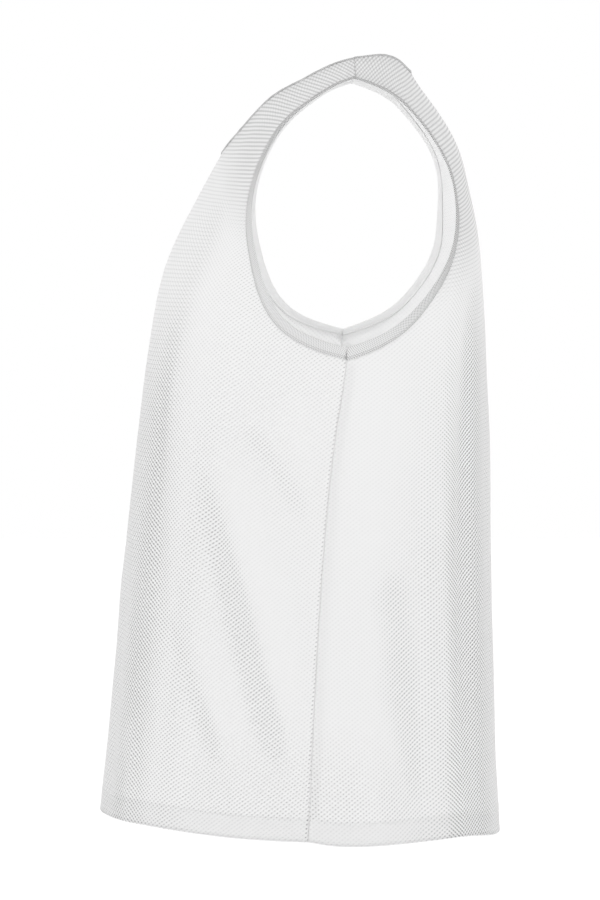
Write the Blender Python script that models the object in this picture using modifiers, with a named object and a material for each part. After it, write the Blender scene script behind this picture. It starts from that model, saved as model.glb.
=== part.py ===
"""Training bib: a sleeveless pull-over vest of open-hole mesh, filled out as if it were worn.

Two panels hang from the shoulder seams. Each panel is drawn flat, as a pattern piece, and every
point of it is then carried to its place on the worn form. A place on a panel has two measures:
    around - metres from the panel's centre line, along the cloth, positive to the wearer's left
    down   - metres of cloth below the shoulder line
World axes: +X the wearer's left, -Y the front, +Z up. The origin lies between the two shoulder
seams, where the wearer's shoulders hold the bib.
"""
from collections import namedtuple

import bmesh
import bpy
import numpy as np

# ---------------------------------------------------------------- driving dimensions, metres
WALL = 0.0012               # a panel's cloth
BAND_WALL = 0.0010          # each leg of a folded binding, and the hem's inner layer
SEAM_GAP = 0.0003           # between layers that lie on each other
SEAM_SETBACK = 0.0004       # from a seam line to the edge of each panel that meets there
BAND_SHORT = 0.0010         # a binding or hem layer ends this far before its panel's seam
BAND_WIDTH = 0.008          # a binding, from the opening's edge to its stitches
HEM_DEPTH = 0.020           # the turned-up hem

NECK_END = 0.095            # shoulder seam, end at the neck, from the centre
ARM_END = 0.150             # shoulder seam, end at the armhole
NECK_END_HEIGHT = 0.009     # that seam's neck end, above the origin
SHOULDER_FALL = 0.36        # how steeply the shoulder line falls
NAPE_ROUND = 0.05           # over which it turns level towards the neck
LEVEL_FROM = 0.23           # beyond this, past the shoulder, it is level again

UNDERARM_HEIGHT = -0.2350   # where the armholes meet the side seams
SIDE_HEM_HEIGHT = -0.6550   # the hem at the side seams

CLOTH_COLOUR = (0.86, 0.86, 0.86, 1.0)
CLOTH_ROUGHNESS = 0.8

# ---------------------------------------------------------------- the worn form, by sections
# down        metres of cloth below the shoulder line
# tilt        how much of the shoulders' fall this section still follows
# drop        its depth below the shoulder line
# centre_y    its place on the centre line, front negative
# side_x      half the body's width, and side_y the place of its side
# centre_flat how far it runs straight from the centre, as a part of side_x
# side_flat   how far it runs straight from the side, as a part of its depth
Section = namedtuple("Section", "down tilt drop centre_y side_x side_y centre_flat side_flat")

FRONT_SECTIONS = (
    Section(0.000, 1.00, 0.0000, 0.0000, 0.178, 0.000, 0.60, 0.60),
    Section(0.020, 1.00, 0.0065, -0.0190, 0.182, -0.012, 0.62, 0.60),
    Section(0.050, 1.00, 0.0225, -0.0455, 0.186, -0.031, 0.64, 0.60),
    Section(0.080, 1.10, 0.0410, -0.0685, 0.189, -0.048, 0.64, 0.60),
    Section(0.120, 1.20, 0.0755, -0.0945, 0.191, -0.060, 0.62, 0.60),
    Section(0.160, 1.25, 0.1115, -0.1160, 0.192, -0.054, 0.60, 0.58),
    Section(0.200, 1.15, 0.1450, -0.1358, 0.192, -0.034, 0.58, 0.56),
    Section(0.250, 0.90, 0.1896, -0.1622, 0.191, -0.013, 0.56, 0.55),
    Section(0.285, 0.70, 0.2235, -0.1738, 0.190, -0.007, 0.56, 0.55),
    Section(0.360, 0.30, 0.2978, -0.1875, 0.190, -0.009, 0.56, 0.55),
    Section(0.450, 0.08, 0.3870, -0.1983, 0.192, -0.016, 0.56, 0.55),
    Section(0.550, 0.00, 0.4864, -0.2080, 0.195, -0.026, 0.57, 0.55),
    Section(0.650, 0.00, 0.5860, -0.2170, 0.198, -0.034, 0.58, 0.55),
    Section(0.750, 0.00, 0.6856, -0.2283, 0.201, -0.042, 0.58, 0.55),
)
BACK_SECTIONS = (
    Section(0.000, 1.00, 0.0000, 0.0000, 0.178, 0.000, 0.60, 0.60),
    Section(0.024, 1.30, 0.0045, 0.0235, 0.182, 0.016, 0.66, 0.60),
    Section(0.045, 1.15, 0.0158, 0.0400, 0.186, 0.030, 0.70, 0.62),
    Section(0.060, 0.95, 0.0280, 0.0490, 0.188, 0.043, 0.72, 0.62),
    Section(0.090, 0.72, 0.0530, 0.0706, 0.190, 0.056, 0.74, 0.64),
    Section(0.120, 0.62, 0.0810, 0.0894, 0.191, 0.061, 0.76, 0.66),
    Section(0.160, 0.58, 0.1190, 0.1010, 0.192, 0.049, 0.76, 0.68),
    Section(0.200, 0.50, 0.1561, 0.1095, 0.192, 0.032, 0.74, 0.68),
    Section(0.240, 0.38, 0.1957, 0.1138, 0.191, 0.005, 0.72, 0.66),
    Section(0.272, 0.30, 0.2290, 0.1160, 0.190, -0.007, 0.70, 0.64),
    Section(0.400, 0.05, 0.3555, 0.1213, 0.1915, -0.013, 0.66, 0.60),
    Section(0.500, 0.00, 0.4554, 0.1245, 0.194, -0.023, 0.64, 0.60),
    Section(0.600, 0.00, 0.5553, 0.1275, 0.197, -0.032, 0.62, 0.60),
    Section(0.730, 0.00, 0.6852, 0.1320, 0.201, -0.042, 0.60, 0.60),
)

# The side seam, from the underarm down: both panels end on this line.
SeamPoint = namedtuple("SeamPoint", "height x y")
SIDE_SEAM = (
    SeamPoint(-0.220, 0.1902, -0.0065),
    SeamPoint(-0.250, 0.1900, -0.0068),
    SeamPoint(-0.300, 0.1900, -0.0088),
    SeamPoint(-0.380, 0.1915, -0.0150),
    SeamPoint(-0.480, 0.1945, -0.0252),
    SeamPoint(-0.580, 0.1975, -0.0335),
    SeamPoint(-0.690, 0.2010, -0.0420),
)
SEAM_EASE = 0.015           # the height over which a panel's side comes to that line

# ---------------------------------------------------------------- the pattern pieces
# side       -1 for the front and 1 for the back
# neck       Bezier handles (around, down), from the shoulder seam to the centre line
# arm        points (around, down) of the armhole, from the shoulder seam towards the side seam
# hem        how much lower the hem is than at the side seam: (part of the way there, lower by)
Pattern = namedtuple("Pattern", "name side sections neck arm hem")

FRONT_PATTERN = Pattern(
    "front", -1, FRONT_SECTIONS,
    ((NECK_END, 0.0), (0.092, 0.054), (0.030, 0.158), (0.0, 0.158)),
    ((ARM_END, 0.0), (0.147, 0.045), (0.1515, 0.105), (0.165, 0.155), (0.181, 0.198),
     (0.2055, 0.2375), (0.240, 0.267)),
    ((0.0, 0.0), (0.25, -0.0025), (0.5, -0.0043), (0.75, -0.0022), (1.0, 0.0)))
BACK_PATTERN = Pattern(
    "back", 1, BACK_SECTIONS,
    ((NECK_END, 0.0), (0.095, 0.018), (0.062, 0.061), (0.0, 0.061)),
    ((ARM_END, 0.0), (0.151, 0.035), (0.146, 0.075), (0.145, 0.112), (0.154, 0.150),
     (0.168, 0.184), (0.187, 0.220), (0.214, 0.253)),
    ((0.0, 0.018), (0.25, 0.013), (0.45, 0.006), (0.6, 0.0045), (0.8, 0.0047), (0.93, 0.0034),
     (1.0, 0.0)))

# ---------------------------------------------------------------- the largest folds
# start, middle and end are places (around, down) on the cloth, and height is out of the wearer
Fold = namedtuple("Fold", "start middle end half_width height")

FRONT_FOLDS = (
    Fold((0.125, 0.335), (0.242, 0.560), (0.286, 0.700), 0.017, -0.0060),
    Fold((0.165, 0.345), (0.269, 0.524), (0.288, 0.660), 0.018, 0.0040),
    Fold((0.125, 0.510), (0.169, 0.569), (0.245, 0.710), 0.014, -0.0040),
    Fold((0.175, 0.330), (0.258, 0.414), (0.285, 0.460), 0.014, -0.0030),
    Fold((-0.105, 0.360), (-0.180, 0.520), (-0.262, 0.750), 0.020, -0.0055),
    Fold((-0.165, 0.340), (-0.220, 0.500), (-0.285, 0.680), 0.024, 0.0040),
    Fold((0.040, 0.460), (0.045, 0.600), (0.060, 0.760), 0.018, -0.0030),
    Fold((-0.045, 0.520), (-0.050, 0.620), (-0.070, 0.760), 0.020, -0.0035),
)
BACK_FOLDS = (
    Fold((0.205, 0.260), (0.245, 0.404), (0.240, 0.500), 0.028, 0.0035),
    Fold((0.222, 0.430), (0.203, 0.544), (0.190, 0.740), 0.022, -0.0040),
    Fold((0.131, 0.210), (0.128, 0.415), (0.138, 0.740), 0.016, -0.0040),
    Fold((-0.120, 0.220), (-0.118, 0.460), (-0.108, 0.760), 0.018, -0.0040),
    Fold((-0.190, 0.300), (-0.215, 0.480), (-0.195, 0.760), 0.026, -0.0035),
    Fold((0.020, 0.400), (0.012, 0.560), (0.010, 0.760), 0.026, -0.0030),
)
FOLD_FADE = 0.3             # each end's part of a fold's length over which it dies away
SIDE_CALM = 0.10            # the part of the way to the side seam over which all folds die away

# ---------------------------------------------------------------- the mesh of half a panel
# columns and rows of faces beside the neck, across the strap, beside the armhole and below it
NECK_COLUMNS, STRAP_COLUMNS, ARM_COLUMNS = 4, 4, 5
NECK_ROWS, ARM_ROWS, BODY_ROWS = 4, 9, 18
NECK_TURN = 0.52            # where the neck curve passes from rows to columns, as a part of it
ARM_TURN = 0.62             # the same on the armhole
NECK_ROW_SHIFT = 0.10       # how far the line beside the neck is cut short at that turn, in rows
NECK_COLUMN_SHIFT = 0.08    # and in columns
ARM_SHIFT = 0.03            # the same beside the armhole, in both
NECK_COLUMN = NECK_COLUMNS
ARM_COLUMN = NECK_COLUMNS + STRAP_COLUMNS
SIDE_COLUMN = ARM_COLUMN + ARM_COLUMNS
HEM_ROW = ARM_ROWS + BODY_ROWS
RELAXING = 300
ARC_STEPS = 64              # along each section's arc
FOLD_STEPS = 32             # along each fold
CURVE_STEPS = 200           # along an opening's edge
SLOPE_STEP = 0.0005         # to each side of a place, where the form's slope is measured
SEAM_SPAN = (0.18, 0.73)    # the side seam lies between these places down the cloth
SEAM_STEPS = 300


# ---------------------------------------------------------------- curves
def spline(known, values, at):
    """A natural cubic spline through the values, read at the given places."""
    gap = np.diff(known)
    count = len(known)
    rows = np.eye(count)
    bend = np.zeros(count)
    for k in range(1, count - 1):
        rows[k, k - 1:k + 2] = gap[k - 1], 2 * (gap[k - 1] + gap[k]), gap[k]
        bend[k] = 6 * ((values[k + 1] - values[k]) / gap[k] - (values[k] - values[k - 1]) / gap[k - 1])
    curve = np.linalg.solve(rows, bend)
    k = np.clip(np.searchsorted(known, at) - 1, 0, count - 2)
    past, left = at - known[k], known[k + 1] - at
    return ((curve[k] * left**3 + curve[k + 1] * past**3) / (6 * gap[k])
            + (values[k] / gap[k] - curve[k] * gap[k] / 6) * left
            + (values[k + 1] / gap[k] - curve[k + 1] * gap[k] / 6) * past)


def bezier(handles, t):
    """A cubic Bezier curve at t."""
    a, b, c, d = handles
    return (1 - t)**3 * a + 3 * (1 - t)**2 * t * b + 3 * (1 - t) * t**2 * c + t**3 * d


def even_curve(points, count=400):
    """The same curve with its points evenly spaced, as a function of 0 to 1."""
    length = np.append(0, np.cumsum(np.linalg.norm(np.diff(points, axis=0), axis=1)))
    along = np.linspace(0, length[-1], count)
    even = np.stack([np.interp(along, length, points[:, k]) for k in (0, 1)], axis=1)
    places = np.linspace(0, 1, count)
    return lambda t: np.stack([np.interp(t, places, even[:, k]) for k in (0, 1)], axis=-1)


def smooth_step(t):
    """0 before 0, 1 after 1, with a soft start and end."""
    t = np.clip(t, 0, 1)
    return t * t * (3 - 2 * t)


# ---------------------------------------------------------------- the worn form
def shoulder_height(around):
    """Height of the shoulder line above the origin, level again past the shoulder."""
    away = np.abs(around)
    span = LEVEL_FROM - ARM_END
    past = np.clip((away - ARM_END) / span, 0, 1)
    reach = np.minimum(away, ARM_END) + span * (past - past**2 / 2)
    return NECK_END_HEIGHT - SHOULDER_FALL * (np.hypot(reach, NAPE_ROUND) - np.hypot(NECK_END, NAPE_ROUND))


def section_arc(down, sections):
    """Handles of each section's arc from centre to side, its length at each step, tilt and drop."""
    table = np.array(sections)
    tilt, drop, centre_y, side_x, side_y, centre_flat, side_flat = (
        spline(table[:, 0], table[:, k], down) for k in range(1, 8))
    side_height = shoulder_height(LEVEL_FROM) * tilt - drop
    seam = np.array(SIDE_SEAM)
    on_seam = smooth_step((UNDERARM_HEIGHT + SEAM_EASE - side_height) / SEAM_EASE)
    side_x += on_seam * (spline(-seam[:, 0], seam[:, 1], -side_height) - side_x)
    side_y += on_seam * (spline(-seam[:, 0], seam[:, 2], -side_height) - side_y)
    zero = np.zeros_like(drop)
    handles = [np.stack(point) for point in (
        (zero, centre_y),
        (centre_flat * side_x, centre_y),
        (side_x, side_y + side_flat * (centre_y - side_y)),
        (side_x, side_y))]
    steps = np.linspace(0, 1, ARC_STEPS + 1)[:, None, None]
    lengths = np.linalg.norm(np.diff(bezier(handles, steps), axis=0), axis=1)
    return handles, np.vstack([zero, np.cumsum(lengths, axis=0)]), tilt, drop


def half_girth(down, sections):
    """Length of cloth from the centre line to the side seam."""
    return section_arc(np.atleast_1d(down), sections)[1][-1]


def smooth_form(around, down, sections):
    """Places on the form before its folds."""
    handles, lengths, tilt, drop = section_arc(down, sections)
    away = np.abs(around)
    k = np.clip((lengths[:-1] <= away).sum(axis=0) - 1, 0, ARC_STEPS - 1)
    point = np.arange(len(away))
    part = (away - lengths[k, point]) / (lengths[k + 1, point] - lengths[k, point])
    t = (k + part) / ARC_STEPS
    x, y = bezier(handles, t)
    return np.stack([np.copysign(x, around), y, shoulder_height(around) * tilt - drop], axis=1)


def fold_height(around, down, pattern, folds):
    """How far the folds stand out of the smooth form; they die away before the side seams."""
    total = np.zeros(len(around))
    t = np.linspace(0, 1, FOLD_STEPS + 1)[:, None]
    for fold in folds:
        start, middle, end = (np.array(place) for place in (fold.start, fold.middle, fold.end))
        path = (1 - t)**2 * start + 2 * t * (1 - t) * middle + t**2 * end
        away = np.hypot(around[:, None] - path[:, 0], down[:, None] - path[:, 1])
        nearest = away.argmin(axis=1)
        along = nearest / FOLD_STEPS
        swell = smooth_step(np.minimum(along, 1 - along) / FOLD_FADE)
        total += fold.height * swell * np.exp(-(away.min(axis=1) / fold.half_width)**2)
    to_side = np.abs(around) / half_girth(down, pattern.sections)
    return total * smooth_step((1 - to_side) / SIDE_CALM)


def worn(around, down, pattern, folds):
    """Places of the cloth's middle on the worn bib."""
    sections = pattern.sections
    across = (smooth_form(around + SLOPE_STEP, down, sections)
              - smooth_form(around - SLOPE_STEP, down, sections))
    below = (smooth_form(around, down + SLOPE_STEP, sections)
             - smooth_form(around, np.maximum(down - SLOPE_STEP, 0), sections))
    out = np.cross(across, below) * pattern.side
    out /= np.linalg.norm(out, axis=1)[:, None]
    height = fold_height(around, down, pattern, folds)
    return smooth_form(around, down, sections) + out * height[:, None]


# ---------------------------------------------------------------- the flat pattern
def side_seam(height, pattern):
    """The place (around, down) on the pattern where the side seam has this height."""
    down = np.linspace(*SEAM_SPAN, SEAM_STEPS)
    girth = half_girth(down, pattern.sections)
    heights = smooth_form(girth, down, pattern.sections)[:, 2]
    at = np.interp(-np.asarray(height), -heights, down)
    return np.stack([np.interp(at, down, girth) - SEAM_SETBACK, at], axis=-1)


def hem_down(around, pattern):
    """The hem's place down the cloth."""
    girth, down = side_seam(SIDE_HEM_HEIGHT, pattern)
    part = np.clip(np.abs(around) / girth, 0, 1)
    lower = np.array(pattern.hem)
    return down + spline(lower[:, 0], lower[:, 1], part)


def edge_curves(pattern):
    """The neck and armhole edges as functions of 0 to 1, from the shoulder seam on."""
    t = np.linspace(0, 1, CURVE_STEPS)[:, None]
    neck = bezier([np.array(handle) for handle in pattern.neck], t)
    stops = np.vstack([pattern.arm, side_seam(UNDERARM_HEIGHT, pattern)])
    reach = np.append(0, np.cumsum(np.linalg.norm(np.diff(stops, axis=0), axis=1)))
    along = np.linspace(0, reach[-1], CURVE_STEPS)
    arm = np.stack([spline(reach, stops[:, k], along) for k in (0, 1)], axis=1)
    return even_curve(neck), even_curve(arm)


def inset(curve, t, distance):
    """A point beside the curve, this far to its inner side."""
    ahead = curve(np.minimum(t + 0.01, 1)) - curve(np.maximum(t - 0.01, 0))
    across = np.stack([ahead[..., 1], -ahead[..., 0]], axis=-1)
    return curve(t) + distance * across / np.linalg.norm(across, axis=-1, keepdims=True)


def lay_out(pattern):
    """Half the pattern piece as rows and columns of places (around, down).

    Column 0 is the centre line and SIDE_COLUMN the side seam; row 0 is the shoulder seam and
    HEM_ROW the hem. The edges and the lines beside them are fixed, and the rest is relaxed.
    """
    neck, arm = edge_curves(pattern)
    place = np.full((HEM_ROW + 1, SIDE_COLUMN + 1, 2), np.nan)
    fixed = np.zeros(place.shape[:2], bool)

    def fix(row, column, value):
        place[row, column] = value
        fixed[row, column] = True

    strap = np.array([NECK_END, NECK_END + BAND_WIDTH, (NECK_END + ARM_END) / 2,
                      ARM_END - BAND_WIDTH, ARM_END])
    for k in range(STRAP_COLUMNS + 1):
        fix(0, NECK_COLUMN + k, (strap[k], SEAM_SETBACK))
    for row in range(1, NECK_ROWS + 1):
        t = NECK_TURN * row / NECK_ROWS
        fix(row, NECK_COLUMN, neck(t))
        fix(row, NECK_COLUMN + 1, inset(neck, t - NECK_ROW_SHIFT * (row == NECK_ROWS), BAND_WIDTH))
    for column in range(NECK_COLUMN + 1):
        t = 1 - (1 - NECK_TURN) * column / NECK_COLUMN
        fix(NECK_ROWS, column, neck(t))
        shift = NECK_COLUMN_SHIFT * (column == NECK_COLUMN)
        fix(NECK_ROWS + 1, column, inset(neck, t + shift, BAND_WIDTH))
    fix(NECK_ROWS + 1, NECK_COLUMN + 1, inset(neck, NECK_TURN, BAND_WIDTH))

    for row in range(1, ARM_ROWS + 1):
        t = ARM_TURN * row / ARM_ROWS
        fix(row, ARM_COLUMN, arm(t))
        fix(row, ARM_COLUMN - 1, inset(arm, t - ARM_SHIFT * (row == ARM_ROWS), -BAND_WIDTH))
    for column in range(ARM_COLUMN, SIDE_COLUMN):
        t = ARM_TURN + (1 - ARM_TURN) * (column - ARM_COLUMN) / ARM_COLUMNS
        fix(ARM_ROWS, column, arm(t))
        shift = ARM_SHIFT * (column == ARM_COLUMN)
        fix(ARM_ROWS + 1, column, inset(arm, t + shift, -BAND_WIDTH))
    fix(ARM_ROWS + 1, ARM_COLUMN - 1, inset(arm, ARM_TURN, -BAND_WIDTH))

    heights = np.append([UNDERARM_HEIGHT, UNDERARM_HEIGHT - BAND_WIDTH],
                        np.linspace(UNDERARM_HEIGHT - BAND_WIDTH, SIDE_HEM_HEIGHT + HEM_DEPTH,
                                    BODY_ROWS - 1)[1:])
    heights = np.append(heights, SIDE_HEM_HEIGHT)
    for k, height in enumerate(heights):
        fix(ARM_ROWS + k, SIDE_COLUMN, side_seam(height, pattern))

    hem_around = np.linspace(0, side_seam(SIDE_HEM_HEIGHT, pattern)[0], SIDE_COLUMN + 1)
    for column, around in enumerate(hem_around[:-1]):
        fix(HEM_ROW, column, (around, hem_down(around, pattern)))
        fix(HEM_ROW - 1, column, (around, hem_down(around, pattern) - HEM_DEPTH))
    centre = np.linspace(place[NECK_ROWS + 1, 0, 1], place[HEM_ROW - 1, 0, 1], HEM_ROW - NECK_ROWS - 1)
    for k, down in enumerate(centre[1:-1]):
        fix(NECK_ROWS + 2 + k, 0, (0.0, down))
    relax(place, fixed)
    return place


def relax(place, fixed):
    """Fill each row between its fixed points, then even out the free points."""
    for row in place:
        known = ~np.isnan(row[:, 0])
        inside = np.arange(known.argmax(), len(known) - known[::-1].argmax())
        for k in (0, 1):
            row[inside, k] = np.interp(inside, np.flatnonzero(known), row[known, k])
    free = ~fixed & ~np.isnan(place[..., 0])
    rows, columns = np.nonzero(free)
    for _ in range(RELAXING):
        place[rows, columns] = (place[rows - 1, columns] + place[rows + 1, columns]
                                + place[rows, columns - 1] + place[rows, columns + 1]) / 4


# ---------------------------------------------------------------- pieces
def make_panel(pattern, folds):
    """The panel's middle surface, with each vertex's column (negative on the right) and row."""
    bm = bmesh.new()
    bmesh.ops.create_grid(bm, x_segments=2 * SIDE_COLUMN, y_segments=HEM_ROW, size=1)
    column_of = bm.verts.layers.int.new("column")
    row_of = bm.verts.layers.int.new("row")
    for vert in bm.verts:
        vert[column_of] = round(vert.co.x * SIDE_COLUMN)
        vert[row_of] = round((1 - vert.co.y) / 2 * HEM_ROW)

    cut = []
    for face in bm.faces:
        column = max(abs(vert[column_of]) for vert in face.verts)
        row = max(vert[row_of] for vert in face.verts)
        in_neck = column <= NECK_COLUMN and row <= NECK_ROWS
        in_arm = column > ARM_COLUMN and row <= ARM_ROWS
        if in_neck or in_arm:
            cut.append(face)
    bmesh.ops.delete(bm, geom=cut, context="FACES")

    place = lay_out(pattern)
    verts = list(bm.verts)
    flat = np.array([place[vert[row_of], abs(vert[column_of])] for vert in verts])
    hand = np.array([-1.0 if vert[column_of] < 0 else 1.0 for vert in verts])
    for vert, point in zip(verts, worn(flat[:, 0] * hand, flat[:, 1], pattern, folds)):
        vert.co = point
    if pattern.side < 0:
        bmesh.ops.reverse_faces(bm, faces=bm.faces)
    bmesh.ops.triangulate(bm, faces=bm.faces, quad_method="SHORT_EDGE")
    bm.normal_update()
    return bm


def keep_faces(bm, wanted):
    """A copy of the mesh with only the faces whose (column, row) corners pass the test."""
    part = bm.copy()
    column_of = part.verts.layers.int["column"]
    row_of = part.verts.layers.int["row"]
    spare = [face for face in part.faces
             if not wanted([(vert[column_of], vert[row_of]) for vert in face.verts])]
    normals = {(vert[column_of], vert[row_of]): vert.normal.copy() for vert in part.verts}
    bmesh.ops.delete(part, geom=spare, context="FACES")
    return part, normals


def straight_neighbours(vert, column_of, row_of):
    """The linked vertices in the same row or column, without the diagonals."""
    linked = [edge.other_vert(vert) for edge in vert.link_edges]
    return [other for other in linked
            if other[row_of] == vert[row_of] or other[column_of] == vert[column_of]]


def draw_back(bm):
    """Shorten a strip at its ends on the seams."""
    column_of = bm.verts.layers.int["column"]
    row_of = bm.verts.layers.int["row"]

    def from_seam(vert):
        return min(vert[row_of], SIDE_COLUMN - abs(vert[column_of]))

    steps = {}
    for vert in bm.verts:
        if from_seam(vert) == 0:
            for beside in straight_neighbours(vert, column_of, row_of):
                if from_seam(beside) == 1:
                    steps[vert] = (beside.co - vert.co).normalized() * BAND_SHORT
    for vert, step in steps.items():
        vert.co += step


def on_neck_edge(column, row):
    """Whether a vertex lies on the neck's edge."""
    return (abs(column) == NECK_COLUMN and row <= NECK_ROWS) or (
        abs(column) <= NECK_COLUMN and row == NECK_ROWS)


def on_arm_edge(column, row):
    """Whether a vertex lies on an armhole's edge."""
    return (abs(column) == ARM_COLUMN and row <= ARM_ROWS) or (
        abs(column) >= ARM_COLUMN and row == ARM_ROWS)


def make_binding(panel, on_edge, hand=0):
    """A strip folded over an edge: an outer leg, an inner leg and the turn between them."""
    bm, normals = keep_faces(panel, lambda corners: any(on_edge(*corner) for corner in corners)
                             and all(corner[0] * hand >= 0 for corner in corners))
    column_of = bm.verts.layers.int["column"]
    row_of = bm.verts.layers.int["row"]
    lift = WALL / 2 + SEAM_GAP + BAND_WALL / 2
    turn = SEAM_GAP + BAND_WALL / 2
    edge_verts = {vert for vert in bm.verts if on_edge(vert[column_of], vert[row_of])}
    outward = {}
    for vert in edge_verts:
        beside = set(straight_neighbours(vert, column_of, row_of)) - edge_verts
        normal = normals[vert[column_of], vert[row_of]]
        away = vert.co - sum((other.co for other in beside), vert.co * 0) / len(beside)
        away -= away.project(normal)
        outward[vert] = away.normalized() * turn
    for vert, step in outward.items():
        vert.co += step
    draw_back(bm)

    inner = bmesh.ops.duplicate(bm, geom=bm.verts[:] + bm.edges[:] + bm.faces[:])["geom"]
    inner_verts = {item for item in inner if isinstance(item, bmesh.types.BMVert)}
    for vert in bm.verts:
        side = -1 if vert in inner_verts else 1
        vert.co += normals[vert[column_of], vert[row_of]] * side * lift
    bmesh.ops.reverse_faces(bm, faces=[item for item in inner if isinstance(item, bmesh.types.BMFace)])
    turned = [edge for edge in bm.edges if edge.is_boundary
              and all(on_edge(vert[column_of], vert[row_of]) for vert in edge.verts)]
    bmesh.ops.bridge_loops(bm, edges=turned)
    bmesh.ops.recalc_face_normals(bm, faces=bm.faces)
    return bm


def make_hem(panel):
    """The hem's inner layer: the panel's last row of faces, moved inwards."""
    bm, normals = keep_faces(panel, lambda corners: min(row for _, row in corners) == HEM_ROW - 1)
    column_of = bm.verts.layers.int["column"]
    row_of = bm.verts.layers.int["row"]
    inwards = WALL / 2 + SEAM_GAP + BAND_WALL / 2
    draw_back(bm)
    for vert in bm.verts:
        vert.co -= normals[vert[column_of], vert[row_of]] * inwards
    return bm


def make_material(name):
    """White polyester cloth."""
    material = bpy.data.materials.new(name)
    material.use_nodes = True
    shader = material.node_tree.nodes["Principled BSDF"]
    shader.inputs["Base Color"].default_value = CLOTH_COLOUR
    shader.inputs["Roughness"].default_value = CLOTH_ROUGHNESS
    shader.inputs["Metallic"].default_value = 0.0
    material.diffuse_color = CLOTH_COLOUR
    return material


def add_piece(name, bm, wall, collection):
    """One sewn piece: a sheet with a wall put round its middle surface."""
    mesh = bpy.data.meshes.new(name)
    bm.to_mesh(mesh)
    bm.free()
    mesh.materials.append(make_material(name + "_cloth"))
    piece = bpy.data.objects.new(name, mesh)
    collection.objects.link(piece)
    solid = piece.modifiers.new("Wall", "SOLIDIFY")
    solid.thickness = wall
    solid.offset = 0.0
    return piece


def make_side(pattern, folds, collection):
    """A panel with its bindings and hem."""
    name = pattern.name
    panel = make_panel(pattern, folds)
    add_piece("neck_band_" + name, make_binding(panel, on_neck_edge), BAND_WALL, collection)
    for hand, hand_name in ((1, "left"), (-1, "right")):
        binding = make_binding(panel, on_arm_edge, hand)
        add_piece(f"armhole_band_{name}_{hand_name}", binding, BAND_WALL, collection)
    add_piece("hem_" + name, make_hem(panel), BAND_WALL, collection)
    add_piece(name + "_panel", panel, WALL, collection)


def main():
    for old in list(bpy.data.objects):
        bpy.data.objects.remove(old)
    collection = bpy.data.collections.new("training_bib")
    bpy.context.scene.collection.children.link(collection)
    make_side(FRONT_PATTERN, FRONT_FOLDS, collection)
    make_side(BACK_PATTERN, BACK_FOLDS, collection)


main()
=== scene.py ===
"""Training bib: cloth, bindings, hems, seams and stitches of an open-hole mesh vest, worn shape.

Every piece is drawn on the flat pattern and carried to the worn form. A flat place has two measures:
    around - metres from the panel's centre line, along the cloth, positive to the wearer's left
    down   - metres of cloth below the shoulder line
and `out` is how far a point stands from the cloth's middle, away from the wearer.
"""
import math
from collections import namedtuple

import bmesh
import bpy
import numpy as np
from bpy.props import FloatProperty, FloatVectorProperty, PointerProperty
from mathutils import Matrix, Vector, noise


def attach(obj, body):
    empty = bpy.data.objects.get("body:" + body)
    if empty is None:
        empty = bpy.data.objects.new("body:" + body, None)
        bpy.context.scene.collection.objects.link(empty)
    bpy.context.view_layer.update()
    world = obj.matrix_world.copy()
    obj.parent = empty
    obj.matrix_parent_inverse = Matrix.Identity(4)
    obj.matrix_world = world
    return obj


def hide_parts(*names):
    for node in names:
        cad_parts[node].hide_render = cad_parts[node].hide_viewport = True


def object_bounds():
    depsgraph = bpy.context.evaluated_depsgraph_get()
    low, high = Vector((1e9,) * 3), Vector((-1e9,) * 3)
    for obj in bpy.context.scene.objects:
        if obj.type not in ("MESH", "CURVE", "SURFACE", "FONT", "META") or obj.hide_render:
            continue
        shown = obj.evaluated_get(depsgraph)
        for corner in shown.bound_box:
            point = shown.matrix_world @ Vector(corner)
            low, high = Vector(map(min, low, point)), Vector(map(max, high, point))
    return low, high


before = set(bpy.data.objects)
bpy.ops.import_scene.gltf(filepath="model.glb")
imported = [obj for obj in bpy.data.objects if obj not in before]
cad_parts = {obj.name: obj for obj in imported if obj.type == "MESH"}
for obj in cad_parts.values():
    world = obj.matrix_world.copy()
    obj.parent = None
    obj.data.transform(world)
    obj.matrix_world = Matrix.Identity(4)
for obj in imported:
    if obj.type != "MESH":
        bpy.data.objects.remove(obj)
CAD_BOX = [list(corner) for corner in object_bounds()]

bl_info = {
    "name": "Training Bib",
    "version": (1, 0, 0),
    "blender": (4, 5, 0),
    "location": "3D View > Sidebar > Bib",
    "description": "Makes a sleeveless training bib of open-hole mesh, with its bindings, hems and stitches",
    "category": "Add Mesh",
}

# ---------------------------------------------------------------- driving dimensions, metres
BAND_WIDTH = 0.008          # a binding, from the opening's edge to its inner edge
HEM_DEPTH = 0.020           # the turned-up hem
NECK_END = 0.095            # shoulder seam, end at the neck, from the centre
ARM_END = 0.150             # shoulder seam, end at the armhole
NECK_END_HEIGHT = 0.009     # that seam's neck end, above the origin
SHOULDER_FALL = 0.36        # how steeply the shoulder line falls
NAPE_ROUND = 0.05           # over which it turns level towards the neck
LEVEL_FROM = 0.23           # beyond this, past the shoulder, it is level again
UNDERARM_HEIGHT = -0.2370   # where the armholes meet the side seams
SIDE_HEM_HEIGHT = -0.6550   # the hem at the side seams
SEAM_SETBACK = 0.00005      # from a seam line to the edge of each piece that meets there

# ---------------------------------------------------------------- the worn form, by sections
# down        metres of cloth below the shoulder line
# tilt        how much of the shoulders' fall this section still follows
# drop        its depth below the shoulder line
# centre_y    its place on the centre line, front negative
# side_x      half the body's width, and side_y the place of its side
# centre_flat how far it runs straight from the centre, as a part of side_x
# side_flat   how far it runs straight from the side, as a part of its depth
Section = namedtuple("Section", "down tilt drop centre_y side_x side_y centre_flat side_flat")

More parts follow.
